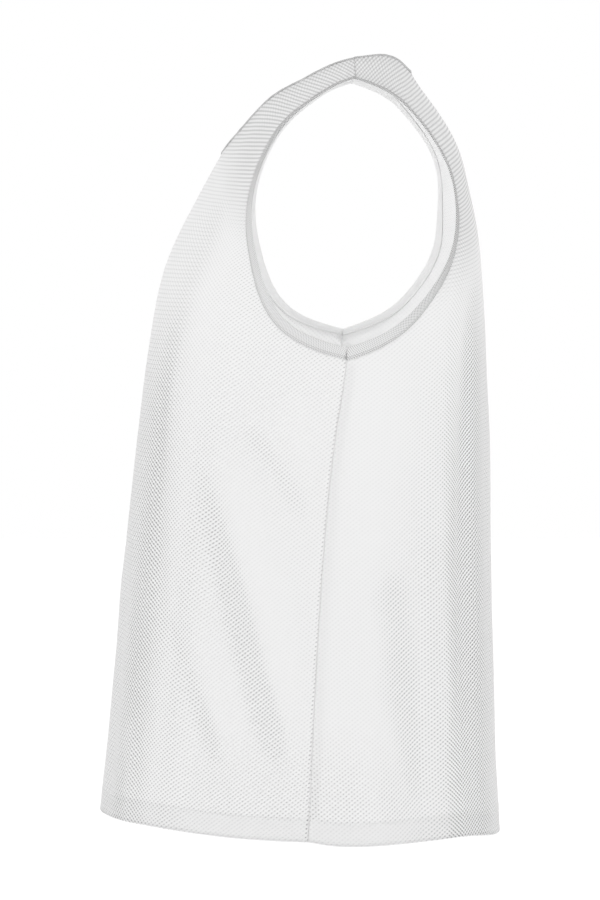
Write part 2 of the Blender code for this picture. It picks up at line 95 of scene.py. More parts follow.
FRONT_SECTIONS = (
    Section(0.000, 1.00, 0.0000, 0.0000, 0.178, 0.000, 0.60, 0.60),
    Section(0.020, 1.00, 0.0065, -0.0190, 0.182, -0.012, 0.62, 0.60),
    Section(0.050, 1.00, 0.0225, -0.0455, 0.186, -0.031, 0.64, 0.60),
    Section(0.080, 1.10, 0.0410, -0.0685, 0.189, -0.048, 0.64, 0.60),
    Section(0.120, 1.20, 0.0755, -0.0945, 0.191, -0.060, 0.62, 0.60),
    Section(0.160, 1.25, 0.1115, -0.1160, 0.192, -0.054, 0.60, 0.58),
    Section(0.200, 1.15, 0.1450, -0.1358, 0.192, -0.034, 0.58, 0.56),
    Section(0.250, 0.90, 0.1896, -0.1622, 0.191, -0.013, 0.56, 0.55),
    Section(0.285, 0.70, 0.2235, -0.1738, 0.190, -0.007, 0.56, 0.55),
    Section(0.360, 0.30, 0.2978, -0.1875, 0.190, -0.009, 0.56, 0.55),
    Section(0.450, 0.08, 0.3870, -0.1983, 0.192, -0.016, 0.56, 0.55),
    Section(0.550, 0.00, 0.4864, -0.2080, 0.195, -0.026, 0.57, 0.55),
    Section(0.650, 0.00, 0.5860, -0.2170, 0.198, -0.034, 0.58, 0.55),
    Section(0.750, 0.00, 0.6856, -0.2283, 0.201, -0.042, 0.58, 0.55),
)
BACK_SECTIONS = (
    Section(0.000, 1.00, 0.0000, 0.0000, 0.178, 0.000, 0.60, 0.60),
    Section(0.024, 1.30, 0.0045, 0.0235, 0.182, 0.016, 0.66, 0.60),
    Section(0.045, 1.15, 0.0158, 0.0400, 0.186, 0.030, 0.70, 0.62),
    Section(0.060, 0.95, 0.0280, 0.0490, 0.188, 0.043, 0.72, 0.62),
    Section(0.090, 0.72, 0.0530, 0.0706, 0.190, 0.056, 0.74, 0.64),
    Section(0.120, 0.62, 0.0810, 0.0894, 0.191, 0.061, 0.76, 0.66),
    Section(0.160, 0.58, 0.1190, 0.1010, 0.192, 0.049, 0.76, 0.68),
    Section(0.200, 0.50, 0.1561, 0.1095, 0.192, 0.032, 0.74, 0.68),
    Section(0.240, 0.38, 0.1957, 0.1138, 0.191, 0.005, 0.72, 0.66),
    Section(0.272, 0.30, 0.2290, 0.1160, 0.190, -0.007, 0.70, 0.64),
    Section(0.400, 0.05, 0.3555, 0.1213, 0.1915, -0.013, 0.66, 0.60),
    Section(0.500, 0.00, 0.4554, 0.1245, 0.194, -0.023, 0.64, 0.60),
    Section(0.600, 0.00, 0.5553, 0.1275, 0.197, -0.032, 0.62, 0.60),
    Section(0.730, 0.00, 0.6852, 0.1320, 0.201, -0.042, 0.60, 0.60),
)

# The side seam, from the underarm down: both panels end on this line.
SeamPoint = namedtuple("SeamPoint", "height x y")
SIDE_SEAM = (
    SeamPoint(-0.220, 0.1902, -0.0065),
    SeamPoint(-0.250, 0.1900, -0.0078),
    SeamPoint(-0.300, 0.1900, -0.0150),
    SeamPoint(-0.380, 0.1915, -0.0243),
    SeamPoint(-0.480, 0.1945, -0.0314),
    SeamPoint(-0.580, 0.1975, -0.0366),
    SeamPoint(-0.690, 0.2010, -0.0415),
)
SEAM_EASE = 0.015           # the height over which a panel's side comes to that line

# ---------------------------------------------------------------- folds and creases
# start, middle and end are places (around, down) on the cloth, and height is out of the wearer
Fold = namedtuple("Fold", "start middle end half_width height")

FRONT_FOLDS = (
    Fold((0.125, 0.335), (0.242, 0.560), (0.286, 0.700), 0.017, -0.0060),
    Fold((0.165, 0.345), (0.269, 0.524), (0.288, 0.660), 0.018, 0.0040),
    Fold((0.125, 0.510), (0.169, 0.569), (0.245, 0.710), 0.014, -0.0040),
    Fold((0.175, 0.330), (0.258, 0.414), (0.285, 0.460), 0.014, -0.0030),
    Fold((-0.105, 0.360), (-0.180, 0.520), (-0.262, 0.750), 0.020, -0.0055),
    Fold((-0.165, 0.340), (-0.220, 0.500), (-0.285, 0.680), 0.024, 0.0040),
    Fold((0.040, 0.460), (0.045, 0.600), (0.060, 0.760), 0.018, -0.0030),
    Fold((-0.045, 0.520), (-0.050, 0.620), (-0.070, 0.760), 0.020, -0.0035),
    Fold((0.165, 0.500), (0.213, 0.607), (0.250, 0.700), 0.011, 0.0018),
    Fold((0.235, 0.315), (0.265, 0.370), (0.280, 0.460), 0.016, 0.0016),
    Fold((0.078, 0.300), (0.120, 0.452), (0.140, 0.570), 0.010, -0.0012),
    Fold((-0.080, 0.320), (-0.112, 0.430), (-0.130, 0.550), 0.011, -0.0014),
    Fold((-0.150, 0.520), (-0.190, 0.590), (-0.240, 0.720), 0.012, -0.0026),
    Fold((-0.190, 0.335), (-0.245, 0.400), (-0.280, 0.455), 0.014, -0.0022),
    Fold((0.095, 0.600), (0.105, 0.670), (0.118, 0.750), 0.013, 0.0015),
    Fold((-0.010, 0.250), (0.004, 0.380), (-0.004, 0.520), 0.024, -0.0012),
)
BACK_FOLDS = (
    Fold((0.205, 0.260), (0.245, 0.404), (0.240, 0.500), 0.028, 0.0035),
    Fold((0.222, 0.430), (0.203, 0.544), (0.190, 0.740), 0.022, -0.0040),
    Fold((0.131, 0.210), (0.128, 0.415), (0.138, 0.740), 0.016, -0.0040),
    Fold((-0.120, 0.220), (-0.118, 0.460), (-0.108, 0.760), 0.018, -0.0040),
    Fold((-0.190, 0.300), (-0.215, 0.480), (-0.195, 0.760), 0.026, -0.0035),
    Fold((0.020, 0.400), (0.012, 0.560), (0.010, 0.760), 0.026, -0.0030),
    Fold((0.165, 0.330), (0.166, 0.500), (0.160, 0.700), 0.012, 0.0014),
    Fold((0.070, 0.250), (0.066, 0.420), (0.072, 0.640), 0.014, -0.0016),
    Fold((-0.058, 0.300), (-0.050, 0.480), (-0.062, 0.720), 0.015, -0.0020),
    Fold((-0.205, 0.270), (-0.236, 0.390), (-0.232, 0.520), 0.020, 0.0026),
    Fold((0.245, 0.560), (0.240, 0.640), (0.236, 0.730), 0.012, 0.0014),
)
FOLD_FADE = 0.3             # each end's part of a fold's length over which it dies away
SIDE_CALM = 0.10            # the part of the way to the side seam over which all folds die away
RIPPLE = 0.0007             # the slow unevenness of the cloth between its folds
RIPPLE_SIZE = 0.055         # and its usual width

# ---------------------------------------------------------------- the pattern pieces
# side       -1 for the front and 1 for the back
# neck       Bezier handles (around, down), from the shoulder seam to the centre line
# arm        points (around, down) of the armhole, from the shoulder seam towards the side seam
# hem        how much lower the hem is than at the side seam: (part of the way there, lower by)
# knit       how the mesh lies at places around the panel: columns of KnitPlace
# row_fall   how much the knit's rows follow the shoulders' fall: (down, share)
# band       how an armhole binding lies, on the way to the side seam: columns of BandPlace
# open_from  the place down the cloth where its lower knit begins
# late_from  farther out than this it comes in more slowly
# rib_to     the ribs of the straps end here, down the cloth
Pattern = namedtuple(
    "Pattern", "name side sections folds neck arm hem knit row_fall band open_from late_from rib_to")

# along      the part of the way from the shoulder seam to the side seam
# show       the share of the tape that shows outside
# open       painted shade on the tape, darkest where the rolled binding is seen edge-on; it also deepens its knit's hollows
BandPlace = namedtuple("BandPlace", "along show open")

# around     metres from the centre line
# upper      how far the holes are pulled open on the chest and shoulders, which also sets the painted shade in their hollows
# lower      the same below them
# lean       which slanting rows stand out: falling towards the side seam, or rising if negative
KnitPlace = namedtuple("KnitPlace", "around upper lower lean")
FRONT_KNIT = tuple(KnitPlace(*row) for row in (
    (0.000, 0.15, 0.60, 0.35),
    (0.070, 0.19, 0.75, 0.35),
    (0.095, 0.26, 1.05, 0.35),
    (0.118, 0.25, 1.00, 0.35),
    (0.130, 0.20, 0.75, 0.15),
    (0.145, 0.18, 0.40, -0.15),
    (0.162, 0.22, 0.50, -0.25),
    (0.180, 0.25, 0.32, -0.35),
    (0.198, 0.26, 0.20, -0.40),
    (0.225, 0.26, 0.14, -0.40),
    (0.255, 0.24, 0.14, -0.45),
    (0.285, 0.20, 0.16, -0.30),
    (0.320, 0.12, 0.16, -0.30),
))
BACK_KNIT = tuple(KnitPlace(*row) for row in (
    (0.000, 0.15, 0.60, 0.35),
    (0.070, 0.19, 0.75, 0.35),
    (0.100, 0.28, 1.10, 0.35),
    (0.137, 0.29, 1.15, 0.35),
    (0.141, 0.30, 1.20, -0.40),
    (0.158, 0.21, 0.85, -0.40),
    (0.166, 0.14, 0.55, 0.35),
    (0.195, 0.10, 0.30, 0.35),
    (0.235, 0.08, 0.10, 0.30),
    (0.285, 0.06, 0.06, 0.20),
    (0.320, 0.06, 0.06, 0.20),
))

FRONT_BAND = tuple(BandPlace(*row) for row in (
    (0.00, 0.20, 1.5),
    (0.10, 0.28, 1.5),
    (0.28, 0.75, 1.3),
    (0.45, 0.80, 0.7),
    (0.70, 1.00, 0.4),
    (1.00, 1.35, 0.4),
))
BACK_BAND = tuple(BandPlace(*row) for row in (
    (0.00, 0.22, 1.5),
    (0.45, 0.30, 1.5),
    (0.60, 0.58, 1.2),
    (0.75, 0.95, 0.7),
    (0.90, 1.20, 0.4),
    (1.00, 1.35, 0.4),
))

FRONT = Pattern(
    "front", -1, FRONT_SECTIONS, FRONT_FOLDS,
    ((NECK_END, 0.0), (0.092, 0.054), (0.030, 0.158), (0.0, 0.158)),
    ((ARM_END, 0.0), (0.147, 0.045), (0.1515, 0.105), (0.165, 0.155), (0.181, 0.198),
     (0.2055, 0.2375), (0.240, 0.267)),
    ((0.0, 0.0), (0.25, -0.0025), (0.5, -0.0043), (0.75, -0.0022), (1.0, 0.0)),
    FRONT_KNIT, ((0.0, 1.1), (1.0, 1.1)), FRONT_BAND, 0.25, 0.10, 0.12)
BACK = Pattern(
    "back", 1, BACK_SECTIONS, BACK_FOLDS,
    ((NECK_END, 0.0), (0.095, 0.018), (0.062, 0.061), (0.0, 0.061)),
    ((ARM_END, 0.0), (0.151, 0.035), (0.146, 0.075), (0.145, 0.112), (0.154, 0.150),
     (0.168, 0.184), (0.187, 0.220), (0.214, 0.253)),
    ((0.0, 0.018), (0.25, 0.013), (0.45, 0.006), (0.6, 0.0045), (0.8, 0.0047), (0.93, 0.0034),
     (1.0, 0.0)),
    BACK_KNIT, ((0.0, 0.95), (0.05, 0.90), (0.10, 0.62), (0.20, 0.42), (1.0, 0.35)), BACK_BAND,
    0.20, 0.12, 0.17)
PATTERNS = (FRONT, BACK)
NECK_SHOW = 0.25            # the share of the neck binding that shows outside
# how the back is pulled forward beside each armhole when the bib is worn
# hand       the side, 1 for the wearer's left and -1 for the right
# down       the middle of the pulled cloth
# reach      half the length of that cloth
# forward    how far its middle moves to the front
Pull = namedtuple("Pull", "hand down reach forward")
BACK_PULLS = (Pull(1, 0.110, 0.060, 0.0032), Pull(-1, 0.150, 0.095, 0.0065))
PULL_FROM = 0.05            # it begins this far from the centre line
PULL_FADE = 0.09            # and comes in over this width

# ---------------------------------------------------------------- the mesh of half a panel
# columns and rows beside the neck, across the strap, beside the armhole and below it; each is
# divided into FINE faces
NECK_COLUMNS, STRAP_COLUMNS, ARM_COLUMNS = 4, 4, 5
NECK_ROWS, ARM_ROWS, BODY_ROWS = 4, 9, 18
FINE = 5
NECK_COLUMN = NECK_COLUMNS * FINE
ARM_COLUMN = NECK_COLUMN + STRAP_COLUMNS * FINE
SIDE_COLUMN = ARM_COLUMN + ARM_COLUMNS * FINE
NECK_ROW = NECK_ROWS * FINE
ARM_ROW = ARM_ROWS * FINE
HEM_ROW = ARM_ROW + BODY_ROWS * FINE
NECK_TURN = 0.52            # where the neck curve passes from rows to columns, as a part of it
ARM_TURN = 0.62             # the same on the armhole
NECK_ROW_SHIFT = 0.10       # how far the line beside the neck is cut short at that turn, in rows
NECK_COLUMN_SHIFT = 0.08    # and in columns
ARM_SHIFT = 0.03            # the same beside the armhole, in both
RELAXING = 2500
ARC_STEPS = 64              # along each section's arc
FOLD_STEPS = 32             # along each fold
CURVE_STEPS = 200           # along an opening's edge
EVEN_STEPS = 400            # along it, once its points are evenly spaced
CURVE_SLOPE_STEP = 0.01     # to each side of a point, where that curve's direction is measured
SLOPE_STEP = 0.0005         # to each side of a place, where the form's slope is measured
SEAM_SPAN = (0.18, 0.73)    # the side seam lies between these places down the cloth
SEAM_STEPS = 300

# ---------------------------------------------------------------- seams, bindings and hems
SEAM_ROLL = 0.0002          # how far a panel's edge turns in at a seam
SEAM_ROLL_WIDTH = 0.0032    # over this much of the cloth
ALLOWANCE = 0.0075          # the overlocked cloth inside a seam
ALLOWANCE_OUT = -0.0014     # its outer layer lies this far inside the panel's middle
ALLOWANCE_GAP = 0.0009      # between its two layers
ALLOWANCE_POINTS = 6        # across each layer
ALLOWANCE_WAVE = 0.5        # its cut edge waves by this part of the pucker
ALLOWANCE_SEED = 3.0        # and this picks those waves
ALLOWANCE_START = 0.014     # it begins this far below the underarm
ALLOWANCE_END = 0.001       # and ends this far above the hem
NEEDLE_LINE = 0.0022        # the overlock's inner thread, from the seam
OVERLOCK_REACH = ALLOWANCE + 0.0003     # where its threads turn round the cut edge
OVERLOCK_OUT = (-0.0010, -0.0027)       # where they lie, out of the panel's middle
OVERLOCK_LEAN = 0.25        # how far each end of a thread leans, in pitches
NEEDLE_HALF = 0.4           # half the length of a stitch of the inner thread, in pitches
PUCKER = 0.00022            # waves along a sewn edge
PUCKER_PITCH = 0.0072
EDGE_WAVE = 0.4             # an inner edge waves by this part of them, in its plane
THREAD_ASIDE = (0.3, 0.5, 0.8)          # a direction that no stitch runs in
END_TURN = 0.05             # the part of an edge over which its strip turns onto the seam at each end

# A point across a strip: `into` is how far it is from the edge into the panel, and `out` how far it
# stands out of the middle of the panel's cloth. BINDING_LEG is a binding's outer leg, to its fold.
Profile = namedtuple("Profile", "into out")
BINDING_LEG = (
    Profile(0.0082, 0.0005), Profile(0.0081, 0.0009), Profile(0.0078, 0.0012), Profile(0.0072, 0.0011),
    Profile(0.0067, 0.0009), Profile(0.0061, 0.0011), Profile(0.0050, 0.0014), Profile(0.0036, 0.0015),
    Profile(0.0020, 0.0014), Profile(0.0008, 0.0012), Profile(0.0000, 0.0008), Profile(-0.0003, 0.0000),
)
BINDING_STITCH = Profile(0.0067, 0.0011)
BINDING_WAVY = 0.005        # farther in than this, a binding's inner edge waves
BINDING_FLAT = 0.6          # how much of its height is left where none of it shows
BINDING_LAP = 0.0004        # how far the front's and back's bindings pass the side seam
HEM_TURN = 0.0010           # the radius of the fold at the hem's edge
HEM_TURN_POINTS = 7         # round that fold
HEM_GAP = 0.0009            # between the hem's layers, where they are stitched
HEM_STITCH = Profile(0.0185, 0.0006)
HEM_STITCH_INSIDE = HEM_STITCH._replace(out=0.0014)
HEM_LEG = (0.003, 0.006, 0.009, 0.012, 0.015, 0.017, HEM_STITCH.into, HEM_DEPTH)

# ---------------------------------------------------------------- how the knit is pulled open
KNIT_ATTRIBUTES = ("Open", "Lean", "Rib")   # what a piece's vertices say of its knit and of the painted shade on it
STRETCH = 0.25              # how much wider the mesh is across the chest and back
STRETCH_TO = 0.12           # as far as this from the centre line
STRETCH_FADE = 0.07         # and then less and less over this width
CROWDING = 0.10             # how much closer the rows lie behind the shoulders
LOWER_FADE = (0.12, 0.18)   # the lower knit comes in over this much cloth, and this much more late
LATE_FADE = 0.02            # the width over which it becomes late
RIB_FADE = 0.08             # the ribs of the straps die away over this much cloth
EDGE_RIB = 0.35             # how strong they stay near the centre line
EDGE_RIB_TO = 0.10          # as far out as this
EDGE_RIB_FADE = 0.03        # and less and less over this width
TROUGH = (0.004, 0.6)       # a trough this deep is pulled open this far, and so darkened with painted shade in its hollows
RIDGE = (0.003, 0.6)        # a ridge this high loses this part of its opening, and so of its painted shade
HEM_OPEN_AND_SHADE = 0.45             # how far the mesh is open just above the hem's stitches; with it the painted shade in its hollows darkens the cloth towards the hem
HEM_OPEN_FADE = 0.12        # less and less over this much cloth
HEM_LAYERS_OPEN = 0.12      # and how far it is in the hem
NEEDLE_OPEN = (0.45, 0.35)  # how far the needle opens the side seam at the top, and how much more low down
NEEDLE_OPEN_FROM = 0.5      # where that more begins, down the cloth
NEEDLE_OPEN_FADE = 0.2      # and how long it takes
NEEDLE_WIDTH = 0.0010       # half the width of those needle holes


# ---------------------------------------------------------------- curves
def spline(known, values, at):
    """A natural cubic spline through the values, read at the given places."""
    gap = np.diff(known)
    count = len(known)
    rows = np.eye(count)
    bend = np.zeros(count)
    for k in range(1, count - 1):
        rows[k, k - 1:k + 2] = gap[k - 1], 2 * (gap[k - 1] + gap[k]), gap[k]
        bend[k] = 6 * ((values[k + 1] - values[k]) / gap[k] - (values[k] - values[k - 1]) / gap[k - 1])
    curve = np.linalg.solve(rows, bend)
    k = np.clip(np.searchsorted(known, at) - 1, 0, count - 2)
    past, left = at - known[k], known[k + 1] - at
    return ((curve[k] * left**3 + curve[k + 1] * past**3) / (6 * gap[k])
            + (values[k] / gap[k] - curve[k] * gap[k] / 6) * left
            + (values[k + 1] / gap[k] - curve[k + 1] * gap[k] / 6) * past)


def bezier(handles, t):
    """A cubic Bezier curve at t."""
    a, b, c, d = handles
    return (1 - t)**3 * a + 3 * (1 - t)**2 * t * b + 3 * (1 - t) * t**2 * c + t**3 * d


def length_of(points):
    """The length of a line of points, up to each of them."""
    return np.append(0, np.cumsum(np.linalg.norm(np.diff(points, axis=0), axis=1)))


def even_curve(points):
    """The same curve with its points evenly spaced, as a function of 0 to 1."""
    length = length_of(points)
    along = np.linspace(0, length[-1], EVEN_STEPS)
    even = np.stack([np.interp(along, length, points[:, k]) for k in (0, 1)], axis=1)
    places = np.linspace(0, 1, EVEN_STEPS)
    return lambda t: np.stack([np.interp(t, places, even[:, k]) for k in (0, 1)], axis=-1)


def smooth_step(t):
    """0 before 0, 1 after 1, with a soft start and end."""
    t = np.clip(t, 0, 1)
    return t * t * (3 - 2 * t)


# ---------------------------------------------------------------- the worn form
def shoulder_height(around):
    """Height of the shoulder line above the origin, level again past the shoulder."""
    away = np.abs(around)
    span = LEVEL_FROM - ARM_END
    past = np.clip((away - ARM_END) / span, 0, 1)
    reach = np.minimum(away, ARM_END) + span * (past - past**2 / 2)
    return NECK_END_HEIGHT - SHOULDER_FALL * (np.hypot(reach, NAPE_ROUND) - np.hypot(NECK_END, NAPE_ROUND))


def section_arc(down, sections):
    """Handles of each section's arc from centre to side, its length at each step, tilt and drop."""
    table = np.array(sections)
    tilt, drop, centre_y, side_x, side_y, centre_flat, side_flat = (
        spline(table[:, 0], table[:, k], down) for k in range(1, 8))
    side_height = shoulder_height(LEVEL_FROM) * tilt - drop
    seam = np.array(SIDE_SEAM)
    on_seam = smooth_step((UNDERARM_HEIGHT + SEAM_EASE - side_height) / SEAM_EASE)
    side_x += on_seam * (spline(-seam[:, 0], seam[:, 1], -side_height) - side_x)
    side_y += on_seam * (spline(-seam[:, 0], seam[:, 2], -side_height) - side_y)
    zero = np.zeros_like(drop)
    handles = [np.stack(point) for point in (
        (zero, centre_y),
        (centre_flat * side_x, centre_y),
        (side_x, side_y + side_flat * (centre_y - side_y)),
        (side_x, side_y))]
    steps = np.linspace(0, 1, ARC_STEPS + 1)[:, None, None]
    lengths = np.linalg.norm(np.diff(bezier(handles, steps), axis=0), axis=1)
    return handles, np.vstack([zero, np.cumsum(lengths, axis=0)]), tilt, drop


def half_girth(down, sections):
    """Length of cloth from the centre line to the side seam."""
    return section_arc(np.atleast_1d(down), sections)[1][-1]


def smooth_form(around, down, sections):
    """Places on the form before its folds."""
    handles, lengths, tilt, drop = section_arc(down, sections)
    away = np.abs(around)
    k = np.clip((lengths[:-1] <= away).sum(axis=0) - 1, 0, ARC_STEPS - 1)
    point = np.arange(len(away))
    part = (away - lengths[k, point]) / (lengths[k + 1, point] - lengths[k, point])
    t = (k + part) / ARC_STEPS
    x, y = bezier(handles, t)
    return np.stack([np.copysign(x, around), y, shoulder_height(around) * tilt - drop], axis=1)


def fold_height(around, down, pattern):
    """How far the folds stand out of the smooth form; they die away before the side seams."""
    total = np.zeros(len(around))
    t = np.linspace(0, 1, FOLD_STEPS + 1)[:, None]
    for fold in pattern.folds:
        start, middle, end = (np.array(place) for place in (fold.start, fold.middle, fold.end))
        path = (1 - t)**2 * start + 2 * t * (1 - t) * middle + t**2 * end
        away = np.hypot(around[:, None] - path[:, 0], down[:, None] - path[:, 1])
        nearest = away.argmin(axis=1)
        along = nearest / FOLD_STEPS
        swell = smooth_step(np.minimum(along, 1 - along) / FOLD_FADE)
        total += fold.height * swell * np.exp(-(away.min(axis=1) / fold.half_width)**2)
    total += [RIPPLE * noise.noise((a / RIPPLE_SIZE, d / RIPPLE_SIZE, pattern.side))
              for a, d in zip(around, down)]
    to_side = np.abs(around) / half_girth(down, pattern.sections)
    return total * smooth_step((1 - to_side) / SIDE_CALM)


def seam_roll(around, down, pattern):
    """How far the cloth turns in, close to the shoulder seams and the side seams."""
    from_side = half_girth(down, pattern.sections) - np.abs(around)
    near = np.minimum(np.maximum(from_side, 0), np.maximum(down, 0))
    return SEAM_ROLL * (1 - smooth_step(near / SEAM_ROLL_WIDTH))


def pull_forward(around, down):
    """How far the back is moved to the front beside each armhole."""
    total = np.zeros(len(around))
    for pull in BACK_PULLS:
        near = smooth_step(1 - np.abs(down - pull.down) / pull.reach)
        aside = smooth_step((around * pull.hand - PULL_FROM) / PULL_FADE)
        total += pull.forward * near * aside
    return total


def worn(flat, pattern, out=0.0):
    """Places on the worn bib of flat places (around, down), standing out of the cloth's middle."""
    around, down = np.asarray(flat, float).T
    sections = pattern.sections
    across = (smooth_form(around + SLOPE_STEP, down, sections)
              - smooth_form(around - SLOPE_STEP, down, sections))
    below = (smooth_form(around, down + SLOPE_STEP, sections)
             - smooth_form(around, np.maximum(down - SLOPE_STEP, 0), sections))
    away = np.cross(across, below) * pattern.side
    away /= np.linalg.norm(away, axis=1)[:, None]
    height = fold_height(around, down, pattern) - seam_roll(around, down, pattern) + out
    place = smooth_form(around, down, sections) + away * height[:, None]
    if pattern.side > 0:
        place[:, 1] -= pull_forward(around, down)
    return place


# ---------------------------------------------------------------- the flat pattern
def side_seam(height, pattern, setback=SEAM_SETBACK):
    """The place (around, down) on the pattern where the side seam has this height."""
    down = np.linspace(*SEAM_SPAN, SEAM_STEPS)
    girth = half_girth(down, pattern.sections)
    heights = smooth_form(girth, down, pattern.sections)[:, 2]
    at = np.interp(-np.asarray(height), -heights, down)
    return np.stack([np.interp(at, down, girth) - setback, at], axis=-1)


def hem_down(around, pattern):
    """The hem's place down the cloth."""
    girth, down = side_seam(SIDE_HEM_HEIGHT, pattern)
    part = np.clip(np.abs(around) / girth, 0, 1)
    lower = np.array(pattern.hem)
    return down + spline(lower[:, 0], lower[:, 1], part)


def edge_curves(pattern):
    """The neck and armhole edges as functions of 0 to 1, from the shoulder seam on."""
    t = np.linspace(0, 1, CURVE_STEPS)[:, None]
    neck = bezier([np.array(handle) for handle in pattern.neck], t)
    stops = np.vstack([pattern.arm, side_seam(UNDERARM_HEIGHT, pattern)])
    reach = length_of(stops)
    along = np.linspace(0, reach[-1], CURVE_STEPS)
    arm = np.stack([spline(reach, stops[:, k], along) for k in (0, 1)], axis=1)
    return even_curve(neck), even_curve(arm)


def inset(curve, t, distance):
    """A point beside the curve, this far to its inner side."""
    ahead = curve(np.minimum(t + CURVE_SLOPE_STEP, 1)) - curve(np.maximum(t - CURVE_SLOPE_STEP, 0))
    across = np.stack([ahead[..., 1], -ahead[..., 0]], axis=-1)
    return curve(t) + distance * across / np.linalg.norm(across, axis=-1, keepdims=True)


def lay_out(pattern):
    """Half the pattern piece as rows and columns of places (around, down).

    Column 0 is the centre line and SIDE_COLUMN the side seam; row 0 is the shoulder seam and
    HEM_ROW the hem. The strips beside the edges are fixed, and the rest is relaxed.
    """
    neck, arm = edge_curves(pattern)
    place = np.full((HEM_ROW + 1, SIDE_COLUMN + 1, 2), np.nan)
    fixed = np.zeros(place.shape[:2], bool)

    def fix(row, column, value):
        place[row, column] = value
        fixed[row, column] = True

    def strip(curve, turn, width, row_shift, column_shift, turn_row, turn_column, inner, row_count,
              column_count, ends):
        """The cloth beside an opening: down its rows, round its turn and along its columns."""
        for k in range(FINE + 1):
            part = k / FINE
            for row in range(turn_row + 1):
                t = turn * row / turn_row
                late = max(row / FINE - (row_count - 1), 0)
                beside = inset(curve, t - row_shift * late, width)
                fix(row, turn_column + inner * k, curve(t) * (1 - part) + beside * part)
            for step in range(column_count * FINE + 1):
                t = turn + (1 - turn) * step / (column_count * FINE)
                early = max(1 - step / FINE, 0)
                beside = inset(curve, t + column_shift * early, width)
                if step == column_count * FINE:
                    beside = ends
                fix(turn_row + k, turn_column - inner * step, curve(t) * (1 - part) + beside * part)
        corner = [curve(turn), inset(curve, turn - row_shift, width),
                  inset(curve, turn + column_shift, width), inset(curve, turn, width)]
        for k in range(FINE + 1):
            for j in range(FINE + 1):
                a, b = k / FINE, j / FINE
                fix(turn_row + k, turn_column + inner * j,
                    (1 - a) * (1 - b) * corner[0] + (1 - a) * b * corner[1]
                    + a * (1 - b) * corner[2] + a * b * corner[3])

    below_arm = side_seam(UNDERARM_HEIGHT - BAND_WIDTH, pattern)
    strip(neck, NECK_TURN, BAND_WIDTH, NECK_ROW_SHIFT, NECK_COLUMN_SHIFT, NECK_ROW, NECK_COLUMN, 1,
          NECK_ROWS, NECK_COLUMNS, inset(neck, 1.0, BAND_WIDTH) * (0, 1))
    strip(arm, ARM_TURN, -BAND_WIDTH, ARM_SHIFT, ARM_SHIFT, ARM_ROW, ARM_COLUMN, -1,
          ARM_ROWS, ARM_COLUMNS, below_arm)

    stops = np.array([NECK_END, NECK_END + BAND_WIDTH, (NECK_END + ARM_END) / 2,
                      ARM_END - BAND_WIDTH, ARM_END])
    strap = np.interp(np.arange(STRAP_COLUMNS * FINE + 1) / FINE, np.arange(STRAP_COLUMNS + 1), stops)
    for k, around in enumerate(strap):
        fix(0, NECK_COLUMN + k, (around, SEAM_SETBACK))
        if FINE < k < len(strap) - FINE:
            fix(1, NECK_COLUMN + k, (around, SEAM_ROLL_WIDTH / 2))
            fix(2, NECK_COLUMN + k, (around, SEAM_ROLL_WIDTH))

    body = np.linspace(UNDERARM_HEIGHT - BAND_WIDTH, SIDE_HEM_HEIGHT + HEM_DEPTH, BODY_ROWS - 1)
    heights = np.hstack([UNDERARM_HEIGHT, body, SIDE_HEM_HEIGHT])
    heights = np.interp(np.arange(BODY_ROWS * FINE + 1) / FINE, np.arange(BODY_ROWS + 1), heights)
    for k, height in enumerate(heights):
        side = side_seam(height, pattern)
        fix(ARM_ROW + k, SIDE_COLUMN, side)
        if k > FINE:
            fix(ARM_ROW + k, SIDE_COLUMN - 1, side - (SEAM_ROLL_WIDTH / 2, 0))
            fix(ARM_ROW + k, SIDE_COLUMN - 2, side - (SEAM_ROLL_WIDTH, 0))

    hem_around = np.linspace(0, side_seam(SIDE_HEM_HEIGHT, pattern)[0], SIDE_COLUMN + 1)
    for column, around in enumerate(hem_around[:-3]):
        for k in range(FINE + 1):
            fix(HEM_ROW - k, column, (around, hem_down(around, pattern) - HEM_DEPTH * k / FINE))
    for k in (1, 2):
        around = place[HEM_ROW, SIDE_COLUMN - k, 0]
        fix(HEM_ROW, SIDE_COLUMN - k, (around, hem_down(around, pattern)))
    centre = np.linspace(place[NECK_ROW + FINE, 0, 1], place[HEM_ROW - FINE, 0, 1],
                         HEM_ROW - NECK_ROW - 2 * FINE + 1)
    for k, down in enumerate(centre):
        fix(NECK_ROW + FINE + k, 0, (0.0, down))
    relax(place, fixed)
    return place


def relax(place, fixed):
    """Fill each row between its fixed points, then even out the free points."""
    for row in place:
        known = ~np.isnan(row[:, 0])
        inside = np.arange(known.argmax(), len(known) - known[::-1].argmax())
        for k in (0, 1):
            row[inside, k] = np.interp(inside, np.flatnonzero(known), row[known, k])
    free = ~fixed & ~np.isnan(place[..., 0])
    rows, columns = np.nonzero(free)
    for _ in range(RELAXING):
        place[rows, columns] = (place[rows - 1, columns] + place[rows + 1, columns]
                                + place[rows, columns - 1] + place[rows, columns + 1]) / 4


def knit_place(flat, pattern):
    """Where a flat place lies on the knit; it is stretched across the chest and the back."""
    around, down = np.asarray(flat, float).T
    table = np.array(pattern.sections)
    tilt = spline(table[:, 0], table[:, 1], down)
    calm = np.clip((np.abs(around) - STRETCH_TO) / STRETCH_FADE, 0, 1)
    stretched = np.abs(around) - STRETCH_FADE * (calm - calm**2 / 2)
    beyond = np.maximum(np.abs(around) - STRETCH_TO - STRETCH_FADE, 0)
    across = np.abs(around) - STRETCH * (stretched - beyond)
    rows = down + CROWDING * np.minimum(down, pattern.rib_to) * (pattern.side > 0)
    fall = np.interp(down, *np.array(pattern.row_fall).T)
    return np.stack([np.copysign(across, around), shoulder_height(around) * tilt * fall - rows], axis=1)


# ---------------------------------------------------------------- materials
def chain(tree, operation, *values):
    """A Math node and its result; each value is a number or another node's result."""
    node = tree.nodes.new("ShaderNodeMath")
    node.operation = operation
    for socket, value in zip(node.inputs, values):
        if isinstance(value, (int, float)):
            socket.default_value = value
        else:
            tree.links.new(value, socket)
    return node.outputs[0]


